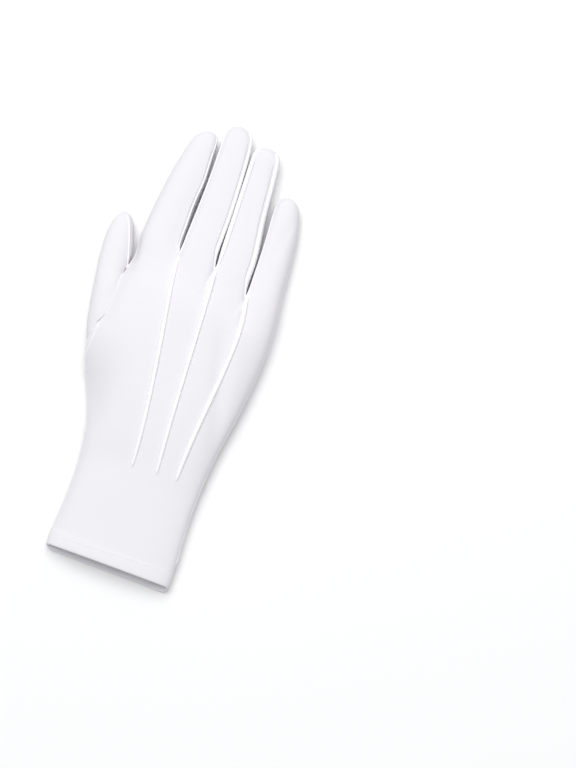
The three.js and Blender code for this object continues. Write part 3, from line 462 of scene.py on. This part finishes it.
# %% [markdown]
# ## The hem and the mouth of the cuff
# The back and the palm run down into the turned hem. Their lower rims could be welded to it, but they are
# other pieces of cloth, so they are let a little way into it, flush with its surface. No gap shows then,
# and the hem is told by its stitches and a faint line. The lower lip of the mouth, which rests on the
# table, lies a little longer than the upper one.
# %% Close the hem
HEM_TOP = cad_low.y + 12.5 * MM
INTO_HEM = 0.6 * MM
HEM_TOUCH = 0.75 * MM  # rim points this close to the hem are let into it
LIP_LONGER, LIP_DEPTH = 1.6 * MM, 6 * MM

hem_tree = KDTree(len(cloths["cuff_hem"].data.vertices))
for vertex in cloths["cuff_hem"].data.vertices:
    hem_tree.insert(vertex.co, vertex.index)
hem_tree.balance()
let_in = 0
for node in ("back_panel", "palm_panel"):
    places = corners_of(cloths[node])
    for i in np.flatnonzero(places[:, 1] < HEM_TOP):
        if hem_tree.find(places[i])[2] < HEM_TOUCH:
            places[i, 1] -= INTO_HEM
            let_in += 1
    put_corners(cloths[node], places)
places = corners_of(cloths["cuff_hem"])
lower = 1 - share_of_back(places)
near_edge = np.clip(1 - (places[:, 1] - cad_low.y) / LIP_DEPTH, 0, 1)
places[:, 1] -= LIP_LONGER * lower * near_edge
put_corners(cloths["cuff_hem"], places)
print(let_in, "rim points let into the hem")

# %% [markdown]
# ## Where the cut edges run
# The raised seams follow the edges where two pieces meet. Their lines could be typed in as points, but they
# are already in the pieces. Each smooth piece knows which faces are its skin and which are its cut edge, so
# the line between the two can be walked point by point. How near the other pieces' edges come then tells
# which seam a stretch belongs to.
# %% Walk the cut edges
SHORTEST_RIM, SHORTEST_RUN = 12, 5  # points; a border or a run has to be longer than this


def rims_of(piece):
    """The border of the outer skin as chains of places, each with the way out of the cloth there."""
    mesh = piece.data
    skin, beyond, out = set(), set(), {}
    for face in mesh.polygons:
        if face.material_index == 0:
            skin.update(face.edge_keys)
            for i in face.vertices:
                out[i] = out.get(i, Vector()) + face.normal
        else:
            beyond.update(face.edge_keys)
    after = {}
    for a, b in skin & beyond:
        after.setdefault(a, []).append(b)
        after.setdefault(b, []).append(a)
    chains = []
    while after:
        start = min(after, key=lambda i: len(after[i]))
        chain, ways = [start], after.pop(start)
        first_ways = ways
        while any(i in after for i in ways):
            here = next(i for i in ways if i in after)
            chain.append(here)
            ways = after.pop(here)
        if len(chain) > 2 and chain[-1] in first_ways:
            chain.append(start)
        if len(chain) > SHORTEST_RIM:
            chains.append([(mesh.vertices[i].co.copy(), out[i].normalized()) for i in chain])
    return chains


def tree_of(chains):
    places = [place for chain in chains for place, _ in chain]
    tree = KDTree(len(places))
    for i, place in enumerate(places):
        tree.insert(place, i)
    tree.balance()
    return tree


def stretches(chains, belongs):
    """The runs of neighbouring points for which belongs(place) is true."""
    runs = []
    for chain in chains:
        marks = [belongs(place) for place, _ in chain]
        if not all(marks):
            first = marks.index(False)
            chain, marks = chain[first:] + chain[1:first + 1], marks[first:] + marks[1:first + 1]
        run = []
        for point, mark in zip(chain, marks):
            if mark:
                run.append(point)
            elif run:
                runs.append(run)
                run = []
        runs.append(run)
    return [run for run in runs if len(run) > SHORTEST_RUN]


rims = {node: rims_of(cloths[node]) for node in ("back_panel", "palm_panel", "thumb")}
trees = {node: tree_of(chains) for node, chains in rims.items()}
for node, chains in rims.items():
    lengths = [sum((b[0] - a[0]).length for a, b in zip(chain, chain[1:])) for chain in chains]
    print(node, "has outer edges of", [round(length / MM) for length in lengths], "mm")

# %% [markdown]
# ## A welt along a line
# A seam shows as a thin round welt. It could be pushed up out of the cloth, but that takes a far finer
# mesh. A curve through evenly spaced points, with a bevel, makes it, and its radius swells a little between
# the stitches, because each stitch draws the cloth in. The curve is then turned to a mesh.
# %% Even out a line
FINE_STEP, STEP = 0.5 * MM, 0.6 * MM  # the spacing of a welt's points, where it bends sharply and elsewhere


def smooth(values, passes):
    """Evens out neighbours in place and keeps the two ends."""
    for _ in range(passes):
        values[1:-1] = values[1:-1] * 0.5 + (values[:-2] + values[2:]) * 0.25


def lengths_along(points):
    """How far along the line each point lies."""
    steps = np.linalg.norm(np.diff(points, axis=0), axis=1)
    return np.concatenate([[0], np.cumsum(steps)])


def even_line(run, spacing, lift=0.0):
    """Points at an even spacing along a run of places, lifted out of the cloth and smoothed."""
    places = np.array([tuple(place + out * lift) for place, out in run])
    along = lengths_along(places)
    wanted = np.linspace(0, along[-1], max(int(along[-1] / spacing), 4))
    line = np.stack([np.interp(wanted, along, places[:, k]) for k in range(3)], axis=1)
    smooth(line, 3)
    return line, wanted


print("points lie", FINE_STEP / MM, "or", STEP / MM, "mm apart on most lines")

# %% Make a welt
THINNEST_END = 0.15  # of the welt's radius


def welt(name, lines, radius, material, gather=0.1, pitch=2.4 * MM, taper=3 * MM, profile=None):
    """A tube along each line, or a swept profile, tapered at both ends and turned to a mesh."""
    curve = bpy.data.curves.new(name, "CURVE")
    curve.dimensions = "3D"
    curve.twist_mode = "Z_UP"
    curve.use_fill_caps = True
    if profile:
        curve.bevel_mode = "OBJECT"
        curve.bevel_object = profile
    else:
        curve.bevel_depth = radius
        curve.bevel_resolution = 2
    for line, along, *fullness in lines:
        spline = curve.splines.new("POLY")
        spline.points.add(len(line) - 1)
        spline.points.foreach_set("co", np.c_[line, np.ones(len(line))].ravel())
        ends = np.minimum(along, along[-1] - along) / taper
        swell = 1 + gather * np.cos(2 * pi * along / pitch)
        full = fullness[0] if fullness else 1
        spline.points.foreach_set("radius", full * swell * np.clip(ends, THINNEST_END, 1) ** 0.5)
    made = bpy.data.objects.new(name, curve)
    bpy.context.scene.collection.objects.link(made)
    only(made)
    bpy.ops.object.convert(target="MESH")
    made = bpy.context.object
    bpy.ops.object.mode_set(mode="EDIT")
    bpy.ops.mesh.select_all(action="SELECT")
    bpy.ops.mesh.remove_doubles(threshold=0.005 * MM)
    bpy.ops.mesh.normals_make_consistent(inside=False)
    bpy.ops.object.mode_set(mode="OBJECT")
    places = corners_of(made)
    places[:, 2] = np.maximum(places[:, 2], 0)
    put_corners(made, places)
    lay_flat(made)
    only(made)
    bpy.ops.object.shade_smooth_by_angle(angle=radians(60))
    dress(made, material, "corded_seam")
    length = sum(along[-1] for _, along, *_ in lines)
    print(name, "runs", round(length / MM), "mm in", len(made.data.polygons), "faces")
    return made


# %% [markdown]
# ## The seams of the fingers, the sides and the thumb
# The seams between the back and the fourchettes are the plainest: white welts at the very edge of each
# finger, which turn round the end of each slit, in the seam cloth with its painted highlight. The same tube
# everywhere would be simpler, but on a filled glove each side of each slit shows another width of seam, so
# each has its own radius and depth. A fine darker line of painted shade runs beside four of these six
# sides, for the crease where the cloth dips into the stitches. The finger seams in the palm lie underneath
# and are finer. The side seam, where back and palm meet, and the set-in seam round the thumb are finer
# still.
# %% Find the runs of each seam
# Edges that come this close to a piece are sewn to it.
NEAR = {"back_panel": 0.9 * MM, "palm_panel": 0.9 * MM, "thumb": 1.6 * MM}
CUFF_SEAM = cad_low.y + 12 * MM  # no seam is sewn below this, where the hem is


def near(node, place):
    return trees[node].find(place)[2] < NEAR[node]


def sewn_here(place):
    return not (near("thumb", place) or place.y < CUFF_SEAM)


fourchette_runs = stretches(rims["back_panel"], lambda p: sewn_here(p) and not near("palm_panel", p))
under_runs = stretches(rims["palm_panel"], lambda p: sewn_here(p) and not near("back_panel", p))
side_runs = stretches(rims["back_panel"], lambda p: sewn_here(p) and near("palm_panel", p))
SHORTEST_SLIT = 60  # points; a shorter stretch of free edge lies beside the thumb and joins the side seams
side_runs += [run for run in fourchette_runs if len(run) < SHORTEST_SLIT]
fourchette_runs = [run for run in fourchette_runs if len(run) >= SHORTEST_SLIT]
thumb_runs = stretches(rims["thumb"], lambda p: True)
print("runs:", len(fourchette_runs), len(under_runs), len(side_runs), len(thumb_runs))

# %% Lay a point on the back of the hand
RAY_START = cad_high.z + 0.05  # 5 cm above the glove
DOWN = Vector((0, 0, -1))


def surface_of(node):
    return BVHTree.FromObject(cloths[node], bpy.context.evaluated_depsgraph_get())


surface = surface_of("back_panel")


def on_cloth(x, y):
    """The place on the back of the hand at x and y, and the way out of the cloth there."""
    place, out, _, _ = surface.ray_cast(Vector((x, y, RAY_START)), DOWN)
    return place, out


print("the middle of the back is", round(on_cloth(0, 0)[0].z / MM, 1), "mm above the table")

# %% Shape the welts round the slits
# Left and right of each slit, in mm: the welt's radius, how far in and how deep it sits, and how far in its
# line of painted crease shade runs, or 0 for none.
SLIT_SEAMS = [
    {"slit": "index to middle", "x": -11, "left": (0.5, 0.4, 0.3, 1.3), "right": (0.45, 0.3, 0.2, 0)},
    {"slit": "middle to ring", "x": 10, "left": (1.15, 0.6, 0.7, 1.9), "right": (1.45, 1.0, 1.0, 2.35)},
    {"slit": "ring to little", "x": 30, "left": (1.65, 1.25, 1.2, 2.7), "right": (0.3, 0.1, 0.2, 0)},
]
SLIT_END = (0.55, 0.0, -0.1, 0)
ROUND_END, TO_SIDES = 2, 8  # mm: the welt is even round the slit's end, then changes to its side's own shape


def slit_sides(line):
    """The lowest point of a line round a slit, the numbers for its two sides and the way in on the first."""
    low = int(line[:, 1].argmin())
    slit = min(SLIT_SEAMS, key=lambda row: abs(row["x"] * MM - line[low, 0]))
    if line[:low, 0].mean() > line[low:, 0].mean():
        return low, slit["right"], slit["left"], 1
    return low, slit["left"], slit["right"], -1


def slit_line(run):
    """The line of a welt round one slit, with its radius, which has a value of its own up each finger."""
    line, along = even_line(run, FINE_STEP)
    low, first, second, inward = slit_sides(line)
    print("   slit ends at", [round(v / MM, 1) for v in line[low]])
    before = (np.arange(len(line)) < low)[:, None]
    away = eased(np.clip((np.abs(along - along[low]) / MM - ROUND_END) / TO_SIDES, 0, 1)[:, None])
    shape = np.array(SLIT_END) * (1 - away) + np.where(before, first, second) * away
    line[:, 0] += np.where(before[:, 0], inward, -inward) * shape[:, 1] * MM
    for k in range(len(line)):
        place, _ = on_cloth(line[k, 0], line[k, 1])
        if place is not None and away[k] > 0:
            line[k, 2] += (place.z - line[k, 2]) * away[k, 0]
    smooth(line[:, 2], 4)
    line[:, 2] -= shape[:, 2] * MM
    return line, along, shape[:, 0]


print("welts planned round", len(SLIT_SEAMS), "slits")

# %% Lay the fine lines of painted crease shade
SHADE_START, SHADE_STOP = 6, 16  # points left bare at the slit and at the fingertip
SHADE_APART = 24  # points over which the line moves away from the welt
SHORTEST_SHADE = 20


def crease_shade_lines(run):
    """Fine lines of painted crease shade on the inner side of the welts, laid on the cloth from the slit to
    near the tip.
    """
    line, _ = even_line(run, FINE_STEP)
    low, first, second, inward = slit_sides(line)
    made = []
    for part, numbers, way in ((line[:low][::-1], first, inward), (line[low:], second, -inward)):
        grow = np.clip(np.arange(len(part)) / SHADE_APART, 0, 1)
        shaded_run = zip(part[SHADE_START:-SHADE_STOP], grow[SHADE_START:])
        hits = [on_cloth(x + way * numbers[3] * MM * share, y) for (x, y, _), share in shaded_run]
        hits = [hit for hit in hits if hit[0] is not None]
        if numbers[3] and len(hits) > SHORTEST_SHADE:
            made.append(even_line(hits, STEP))
    return made


finger_lines = [slit_line(run) for run in fourchette_runs]
# The finger welts wear the seam cloth with its painted highlight.
welt("finger_seams", finger_lines, MM, seam_cloth_painted_highlight, gather=0.05, taper=1.2 * MM)
# These darker lines beside the welts are painted shade for the crease where the cloth dips into the stitches.
shade_lines = [line for run in fourchette_runs for line in crease_shade_lines(run)]
welt("finger_crease_shade_lines", shade_lines, 0.17 * MM, crease_painted_shade, gather=0.3, pitch=1.8 * MM)

# %% Sew the palm's, the side and the thumb's seams
# A side seam is thicker at its ends, where the corners of three pieces meet.
END_SWELL, END_REACH = 1.8, 1.5 * MM


def side_line(run):
    line, along = even_line(run, 0.8 * MM)
    return line, along, 1 + END_SWELL * np.exp(-np.minimum(along, along[-1] - along) / END_REACH)


welt("palm_finger_seams", [even_line(run, STEP) for run in under_runs], 0.35 * MM, glove_cloth)
welt("side_seams", [side_line(run) for run in side_runs], 0.26 * MM, glove_cloth, taper=0.5 * MM)
welt("thumb_seam", [even_line(run, STEP) for run in thumb_runs], 0.22 * MM, glove_cloth, gather=0)

# %% [markdown]
# ## Tacks at the fingertips
# Where the ends of back, palm and fourchette come together, a seamstress closes the corner with a few
# stitches on one spot. The three pieces could be stretched to meet, but that would pull their edges out of
# line. So a small round tack is sunk between them at each corner, and all are joined into one piece.
# %% Close the corners at the fingertips
TACK_RADIUS, TACK_SUNK = 0.85 * MM, 0.25 * MM
bpy.ops.object.select_all(action="DESELECT")
tacks = []
for run in fourchette_runs:
    for place, out in (run[0], run[-1]):
        across = trees["palm_panel"].find(place)[0]
        middle = (place + across) / 2 - out * TACK_SUNK
        middle.z = max(middle.z, TACK_RADIUS)
        bpy.ops.mesh.primitive_ico_sphere_add(subdivisions=2, radius=TACK_RADIUS, location=middle)
        bpy.ops.object.transform_apply(location=True, rotation=False, scale=False)
        tacks.append(bpy.context.object)
only(tacks[0])
for tack in tacks:
    tack.select_set(True)
bpy.ops.object.join()
fingertip_tacks = bpy.context.object
fingertip_tacks.name = "fingertip_tacks"
bpy.ops.object.shade_smooth()
dress(fingertip_tacks, glove_cloth, "corded_seam")
print(len(tacks), "tacks at the fingertips")

# %% [markdown]
# ## Two easings where the thumb is set in
# On the real glove the thumb's edge is turned under, so it passes softly into the palm and the back. The
# cut pieces have square edges there, which leave a small step. The edges could be moved, but the seams are
# walked along them. So a soft round welt of the same cloth fills each step: one round the thumb's lower
# end, and one at its root, where the back lies over it.
# %% Ease the thumb's lower end into the palm
def moved_lines(runs, move):
    """Even lines along the runs, moved by so many mm."""
    lines = [even_line(run, STEP) for run in runs]
    for line, _ in lines:
        line += np.array(move) * MM
    return lines


lower_end = min((point for chain in rims["thumb"] for point, _ in chain), key=lambda p: p.y)
# How far the easing may go from the lower end: along the hand, to the left and upwards.
END_LENGTH, END_LEFT, END_HIGH = 9 * MM, 0.3 * MM, 0.1 * MM


def at_lower_end(place):
    beside = place.x > lower_end.x - END_LEFT and place.z < lower_end.z + END_HIGH
    return beside and place.y < lower_end.y + END_LENGTH


end_lines = moved_lines(stretches(rims["thumb"], at_lower_end), (-0.1, -0.45, 0))
welt("thumb_end", end_lines, 0.8 * MM, glove_cloth, gather=0, taper=2 * MM)

# %% Round the thumb's root
ROOT_ABOVE = 7.5 * MM  # the root is the part of the set-in seam that lies on the back


def at_root(place):
    return near("thumb", place) and place.z > ROOT_ABOVE


root_lines = moved_lines(stretches(rims["back_panel"], at_root), (-0.55, 0, -1.0))
welt("thumb_root", root_lines, 1.05 * MM, glove_cloth, gather=0)

# %% [markdown]
# ## The three raised points
# Each point is a pleat of the same cloth, pinched up and sewn at its foot. It leans a little to the right,
# so that a thin dark slot runs along its right side and a fainter crease along its left, and beyond the
# slot the cloth rises again in a low fold. A round tube would have no slot. So a small profile of the
# pleat's shape is swept along the line of the CAD bar, laid on the cloth below it, and a second, lower
# profile makes the fold beside it. The pleat wears the seam cloth, painted lighter than the glove as a
# highlight on its top, so that it stands out as a white line.
# %% Find the pleats' lines
BAR_CORNERS = 8  # each ring of the CAD bar has this many corners
BAR_STEP, BAR_SMOOTHING = 1.2 * MM, 90
PLEAT_LONGER = 0.6 * MM


def pleat_line(node, foot, top):
    """The middle line of a CAD bar, laid on the cloth."""
    corners = np.unique(corners_of(nodes[node]).round(6), axis=0)
    corners = corners[np.argsort(corners[:, 1])]
    starts = range(0, len(corners) - BAR_CORNERS + 1, BAR_CORNERS)
    rings = [corners[i:i + BAR_CORNERS] for i in starts]
    middle = np.array([[(ring[:, 0].min() + ring[:, 0].max()) / 2, ring[:, 1].mean()] for ring in rings])
    ys = np.arange(middle[0, 1], middle[-1, 1] + PLEAT_LONGER, BAR_STEP)
    xs = np.interp(ys, middle[:, 1], middle[:, 0])
    smooth(xs, BAR_SMOOTHING)
    xs += np.linspace(foot, top, len(xs)) * MM
    hits = [on_cloth(x, y) for x, y in zip(xs, ys)]
    return [hit for hit in hits if hit[0] is not None]


print("the first bar lies on the cloth at", len(pleat_line("back_point_1", 0, 0)), "points")

# %% Draw the profiles
PLEAT_PROFILE = [(-0.55, -0.5), (-0.68, 0.05), (-0.9, 0.5), (-0.55, 0.95), (0.05, 1.15), (0.65, 1.1),
                 (1.05, 0.85), (0.95, 0.5), (0.4, 0.3), (0.3, 0.0), (0.2, -0.5)]
FOOT_PROFILE = [(-0.5, -0.7), (-0.28, -0.1), (-0.12, 0.1), (0.1, 0.14), (0.4, 0.05), (0.8, -0.25),
                (0.2, -0.7)]


def profile_curve(name, corners):
    curve = bpy.data.curves.new(name, "CURVE")
    curve.dimensions = "2D"
    spline = curve.splines.new("POLY")
    spline.points.add(len(corners) - 1)
    for point, (across, up) in zip(spline.points, corners):
        point.co = (across * MM, up * MM, 0, 1)
    spline.use_cyclic_u = True
    made = bpy.data.objects.new(name, curve)
    bpy.context.scene.collection.objects.link(made)
    return made


print("profiles of", len(PLEAT_PROFILE), "and", len(FOOT_PROFILE), "corners")

# %% Sweep the pleats
PLEATS = [  # how far the lower end and the top of each pleat lie to the right of the bar, in mm
    {"node": "back_point_1", "foot": -0.8, "top": 1.2},
    {"node": "back_point_2", "foot": 0.0, "top": 1.3},
    {"node": "back_point_3", "foot": -0.3, "top": 0.8},
]
FOOT_ASIDE = (1.0, 1.4)  # mm from each pleat to the low fold on its right, at the lower end and at the top
RISE = 12 * MM  # each pleat grows from half its size to its full size over this length

pleat_shape = profile_curve("pleat_shape", PLEAT_PROFILE)
foot_shape = profile_curve("foot_shape", FOOT_PROFILE)
for row in PLEATS:
    line, along = even_line(pleat_line(row["node"], row["foot"], row["top"]), STEP)
    full = 0.5 + 0.5 * np.clip(along / RISE, 0, 1) ** 0.6
    pleat = welt(row["node"] + "_pleat", [(line, along, full)], 0, seam_cloth_painted_highlight, gather=0.04, taper=1.5 * MM,
                 profile=pleat_shape)
    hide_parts(row["node"])
    beside = pleat_line(row["node"], row["foot"] + FOOT_ASIDE[0], row["top"] + FOOT_ASIDE[1])
    welt(row["node"] + "_foot", [even_line(beside, STEP)], 0, glove_cloth, gather=0, taper=2 * MM,
         profile=foot_shape)
bpy.data.objects.remove(pleat_shape)
bpy.data.objects.remove(foot_shape)

# %% [markdown]
# ## The thumb's own seams
# The thumb is one piece with a seam up its inner side, which stands up as a thin ridge near the top. A
# second ridge runs from the crease at the thumb's root, where a small tuck lies, a little way down beside
# the set-in seam. The two ridges and the tuck could follow cut edges, as the other seams do, but none lies
# just there. So they are given by a few points each, seen from above, and laid on the cloth.
# %% Sew the thumb
LAID_STEP, LAID_SMOOTHING = 0.7, 12  # mm, and passes


def laid_line(points, on):
    """A smooth line through points in mm, seen from above and laid on the pieces named."""
    trees_below = [surface_of(node) for node in on]
    points = np.array(points, dtype=float)
    along = lengths_along(points)
    wanted = np.linspace(0, along[-1], int(along[-1] / LAID_STEP))
    line = np.stack([np.interp(wanted, along, points[:, k]) for k in (0, 1)], axis=1)
    smooth(line, LAID_SMOOTHING)
    run = []
    for x, y in line * MM:
        hits = [tree.ray_cast(Vector((x, y, RAY_START)), DOWN) for tree in trees_below]
        hits = [hit for hit in hits if hit[0] is not None]
        if hits:
            top = max(hits, key=lambda hit: hit[0].z)
            run.append((top[0], top[1]))
    return run


THUMB_RIDGE = [(-42.5, 57.5), (-39.6, 52), (-37.3, 45), (-35.2, 38), (-33.9, 31), (-33.4, 27.5)]
THUMB_CREASE = [(-39.3, -3.8), (-38.2, -1.6), (-36.9, 0.8), (-35.2, 3.2)]
SET_IN_RIDGE = [(-36.6, -2.5), (-37.6, -8), (-38.5, -14), (-39.0, -20)]
TUCK_SIZE = 0.55  # the tuck in the crease has the pleats' profile at this share of their size

ridge_line = even_line(laid_line(THUMB_RIDGE, ["thumb"]), STEP, 0.05 * MM)
welt("thumb_ridge", [ridge_line], 0.45 * MM, seam_cloth_painted_highlight)
tuck_shape = profile_curve("thumb_tuck_shape", PLEAT_PROFILE)
line, along = even_line(laid_line(THUMB_CREASE, ["thumb", "back_panel"]), FINE_STEP)
tuck = (line, along, np.full(len(line), TUCK_SIZE))
welt("thumb_tuck", [tuck], 0, glove_cloth, gather=0, profile=tuck_shape)
bpy.data.objects.remove(tuck_shape)
set_in_line = even_line(laid_line(SET_IN_RIDGE, ["thumb", "back_panel"]), STEP)
welt("set_in_ridge", [set_in_line], 0.38 * MM, seam_cloth_painted_highlight)

# %% [markdown]
# ## The hem stitches
# One row of fine thread goes round the cuff a little way above the edge. Each stitch is a short, low bead
# of thread that stands a very little way out of the cloth. A bump in the material could draw them, but only
# a mesh keeps them in the shape of the exported piece. They are laid out at an even pitch round the section
# of the cuff.
# %% Stitch the hem
STITCH_HEIGHT, STITCH_LENGTH, STITCH_PITCH = 8.5 * MM, 1.3 * MM, 2.2 * MM
STITCH_LIFT, STITCH_RADIUS = 0.07 * MM, 0.23 * MM
STITCH_LEAN = Vector((0, 0.12 * MM, 0))
LOOKS_ROUND = 720  # rays, from well outside the cuff to its middle
CUFF_MIDDLE_HEIGHT, OUTSIDE = 4 * MM, 0.1


def hem_row():
    """Places and ways out round the outside of the hem at the height of the stitches."""
    middle = Vector((float(corners_of(cloths["cuff_hem"])[:, 0].mean()), 0, CUFF_MIDDLE_HEIGHT))
    tree = surface_of("cuff_hem")
    row = []
    for k in range(LOOKS_ROUND):
        turn = 2 * pi * k / LOOKS_ROUND
        side = Vector((cos(turn), 0, sin(turn)))
        start = middle + side * OUTSIDE
        start.y = cad_low.y + STITCH_HEIGHT
        place, out, _, _ = tree.ray_cast(start, -side)
        if place is not None:
            row.append((place, out))
    row.append(row[0])
    return row


places, _ = even_line(hem_row(), STITCH_PITCH, STITCH_LIFT)
stitches = []
for k in range(len(places) - 1):
    here, after = Vector(places[k]), Vector(places[k + 1])
    go = (after - here).normalized() * STITCH_LENGTH
    marks = np.array([tuple(here + go * t + STITCH_LEAN * (t - 0.5)) for t in (0, 0.25, 0.5, 0.75, 1)])
    stitches.append((marks, np.linspace(0, STITCH_LENGTH, len(marks))))
welt("hem_stitches", stitches, STITCH_RADIUS, thread, gather=0, taper=0.35 * MM)
print(len(stitches), "stitches round the cuff")

# %% [markdown]
# ## Dressing the cut pieces
# The seams had to find the skin and the cut edge of each piece by their face numbers, so the pieces get
# their cloth only now. Each one rides on the glove's single body and stands for the CAD node that it was
# copied from.
# %% Dress the cut pieces
SLOTS = {"back_panel": (glove_cloth, "glove_cloth"), "palm_panel": (glove_cloth, "glove_cloth"),
         "thumb": (glove_cloth, "glove_cloth"), "cuff_hem": (hem_cloth, "hem_cloth")}
for node, cloth in cloths.items():
    material, slot = SLOTS.get(node, (fourchette_cloth, "fourchette_cloth"))
    dress(cloth, material, slot, node)
print(len(cloths), "cut pieces dressed")

# %% [markdown]
# ## The table and the light
# The glove lies on a plain white table under soft studio light. Several lamps could share the work, but
# white cloth shows every second shadow. One large lamp, high beyond the fingertips and a little to the
# thumb's side, makes the soft shadows beside the little finger and under the cuff. A bright even surround,
# a little stronger overhead, fills them.
# %% Lay the table
HAIR_BELOW = 0.05 * MM  # the table lies this far under the glove, so that the two faces don't share a place
bpy.ops.mesh.primitive_plane_add(size=6, location=(0, 0, -HAIR_BELOW))
table = bpy.context.object
table.name = "table"
table_paint = bpy.data.materials.new("table_white")
table_paint.use_nodes = True
paint = table_paint.node_tree.nodes["Principled BSDF"]
paint.inputs["Base Color"].default_value = (0.89, 0.89, 0.89, 1)
paint.inputs["Roughness"].default_value = 0.9
table.data.materials.append(table_paint)
print("the table lies", HAIR_BELOW / MM, "mm under the glove")

# %% Hang the lamps
def soft_lamp(name, azimuth, elevation, distance, size, power):
    a, e = radians(azimuth), radians(elevation)
    away = Vector((sin(a) * cos(e), -cos(a) * cos(e), sin(e)))
    bpy.ops.object.light_add(type="AREA", location=away * distance)
    lamp = bpy.context.object
    lamp.name = name
    lamp.rotation_mode = "QUATERNION"
    lamp.rotation_quaternion = away.to_track_quat("Z", "Y")
    lamp.data.shape = "DISK"
    lamp.data.size = size
    lamp.data.energy = power


soft_lamp("key_lamp", azimuth=202, elevation=71, distance=2.2, size=2.3, power=46)
EVEN_GLOW, OVERHEAD_GLOW = 0.185, 0.40
world = bpy.data.worlds.new("studio")
bpy.context.scene.world = world
world.use_nodes = True
sky = world.node_tree
way = sky.nodes.new("ShaderNodeTexCoord")
parts = sky.nodes.new("ShaderNodeSeparateXYZ")
link(sky, way.outputs["Generated"], parts.inputs[0])
rise = math_node(sky, "MAXIMUM", parts.outputs["Z"], 0.0)
glow = math_node(sky, "ADD", math_node(sky, "MULTIPLY", rise, OVERHEAD_GLOW), EVEN_GLOW)
link(sky, glow, sky.nodes["Background"].inputs["Strength"])
sky.nodes["Background"].inputs["Color"].default_value = (0.97, 0.98, 1.0, 1)
bpy.context.scene.view_settings.view_transform = "Standard"
print("one key lamp and a white surround, brighter overhead")
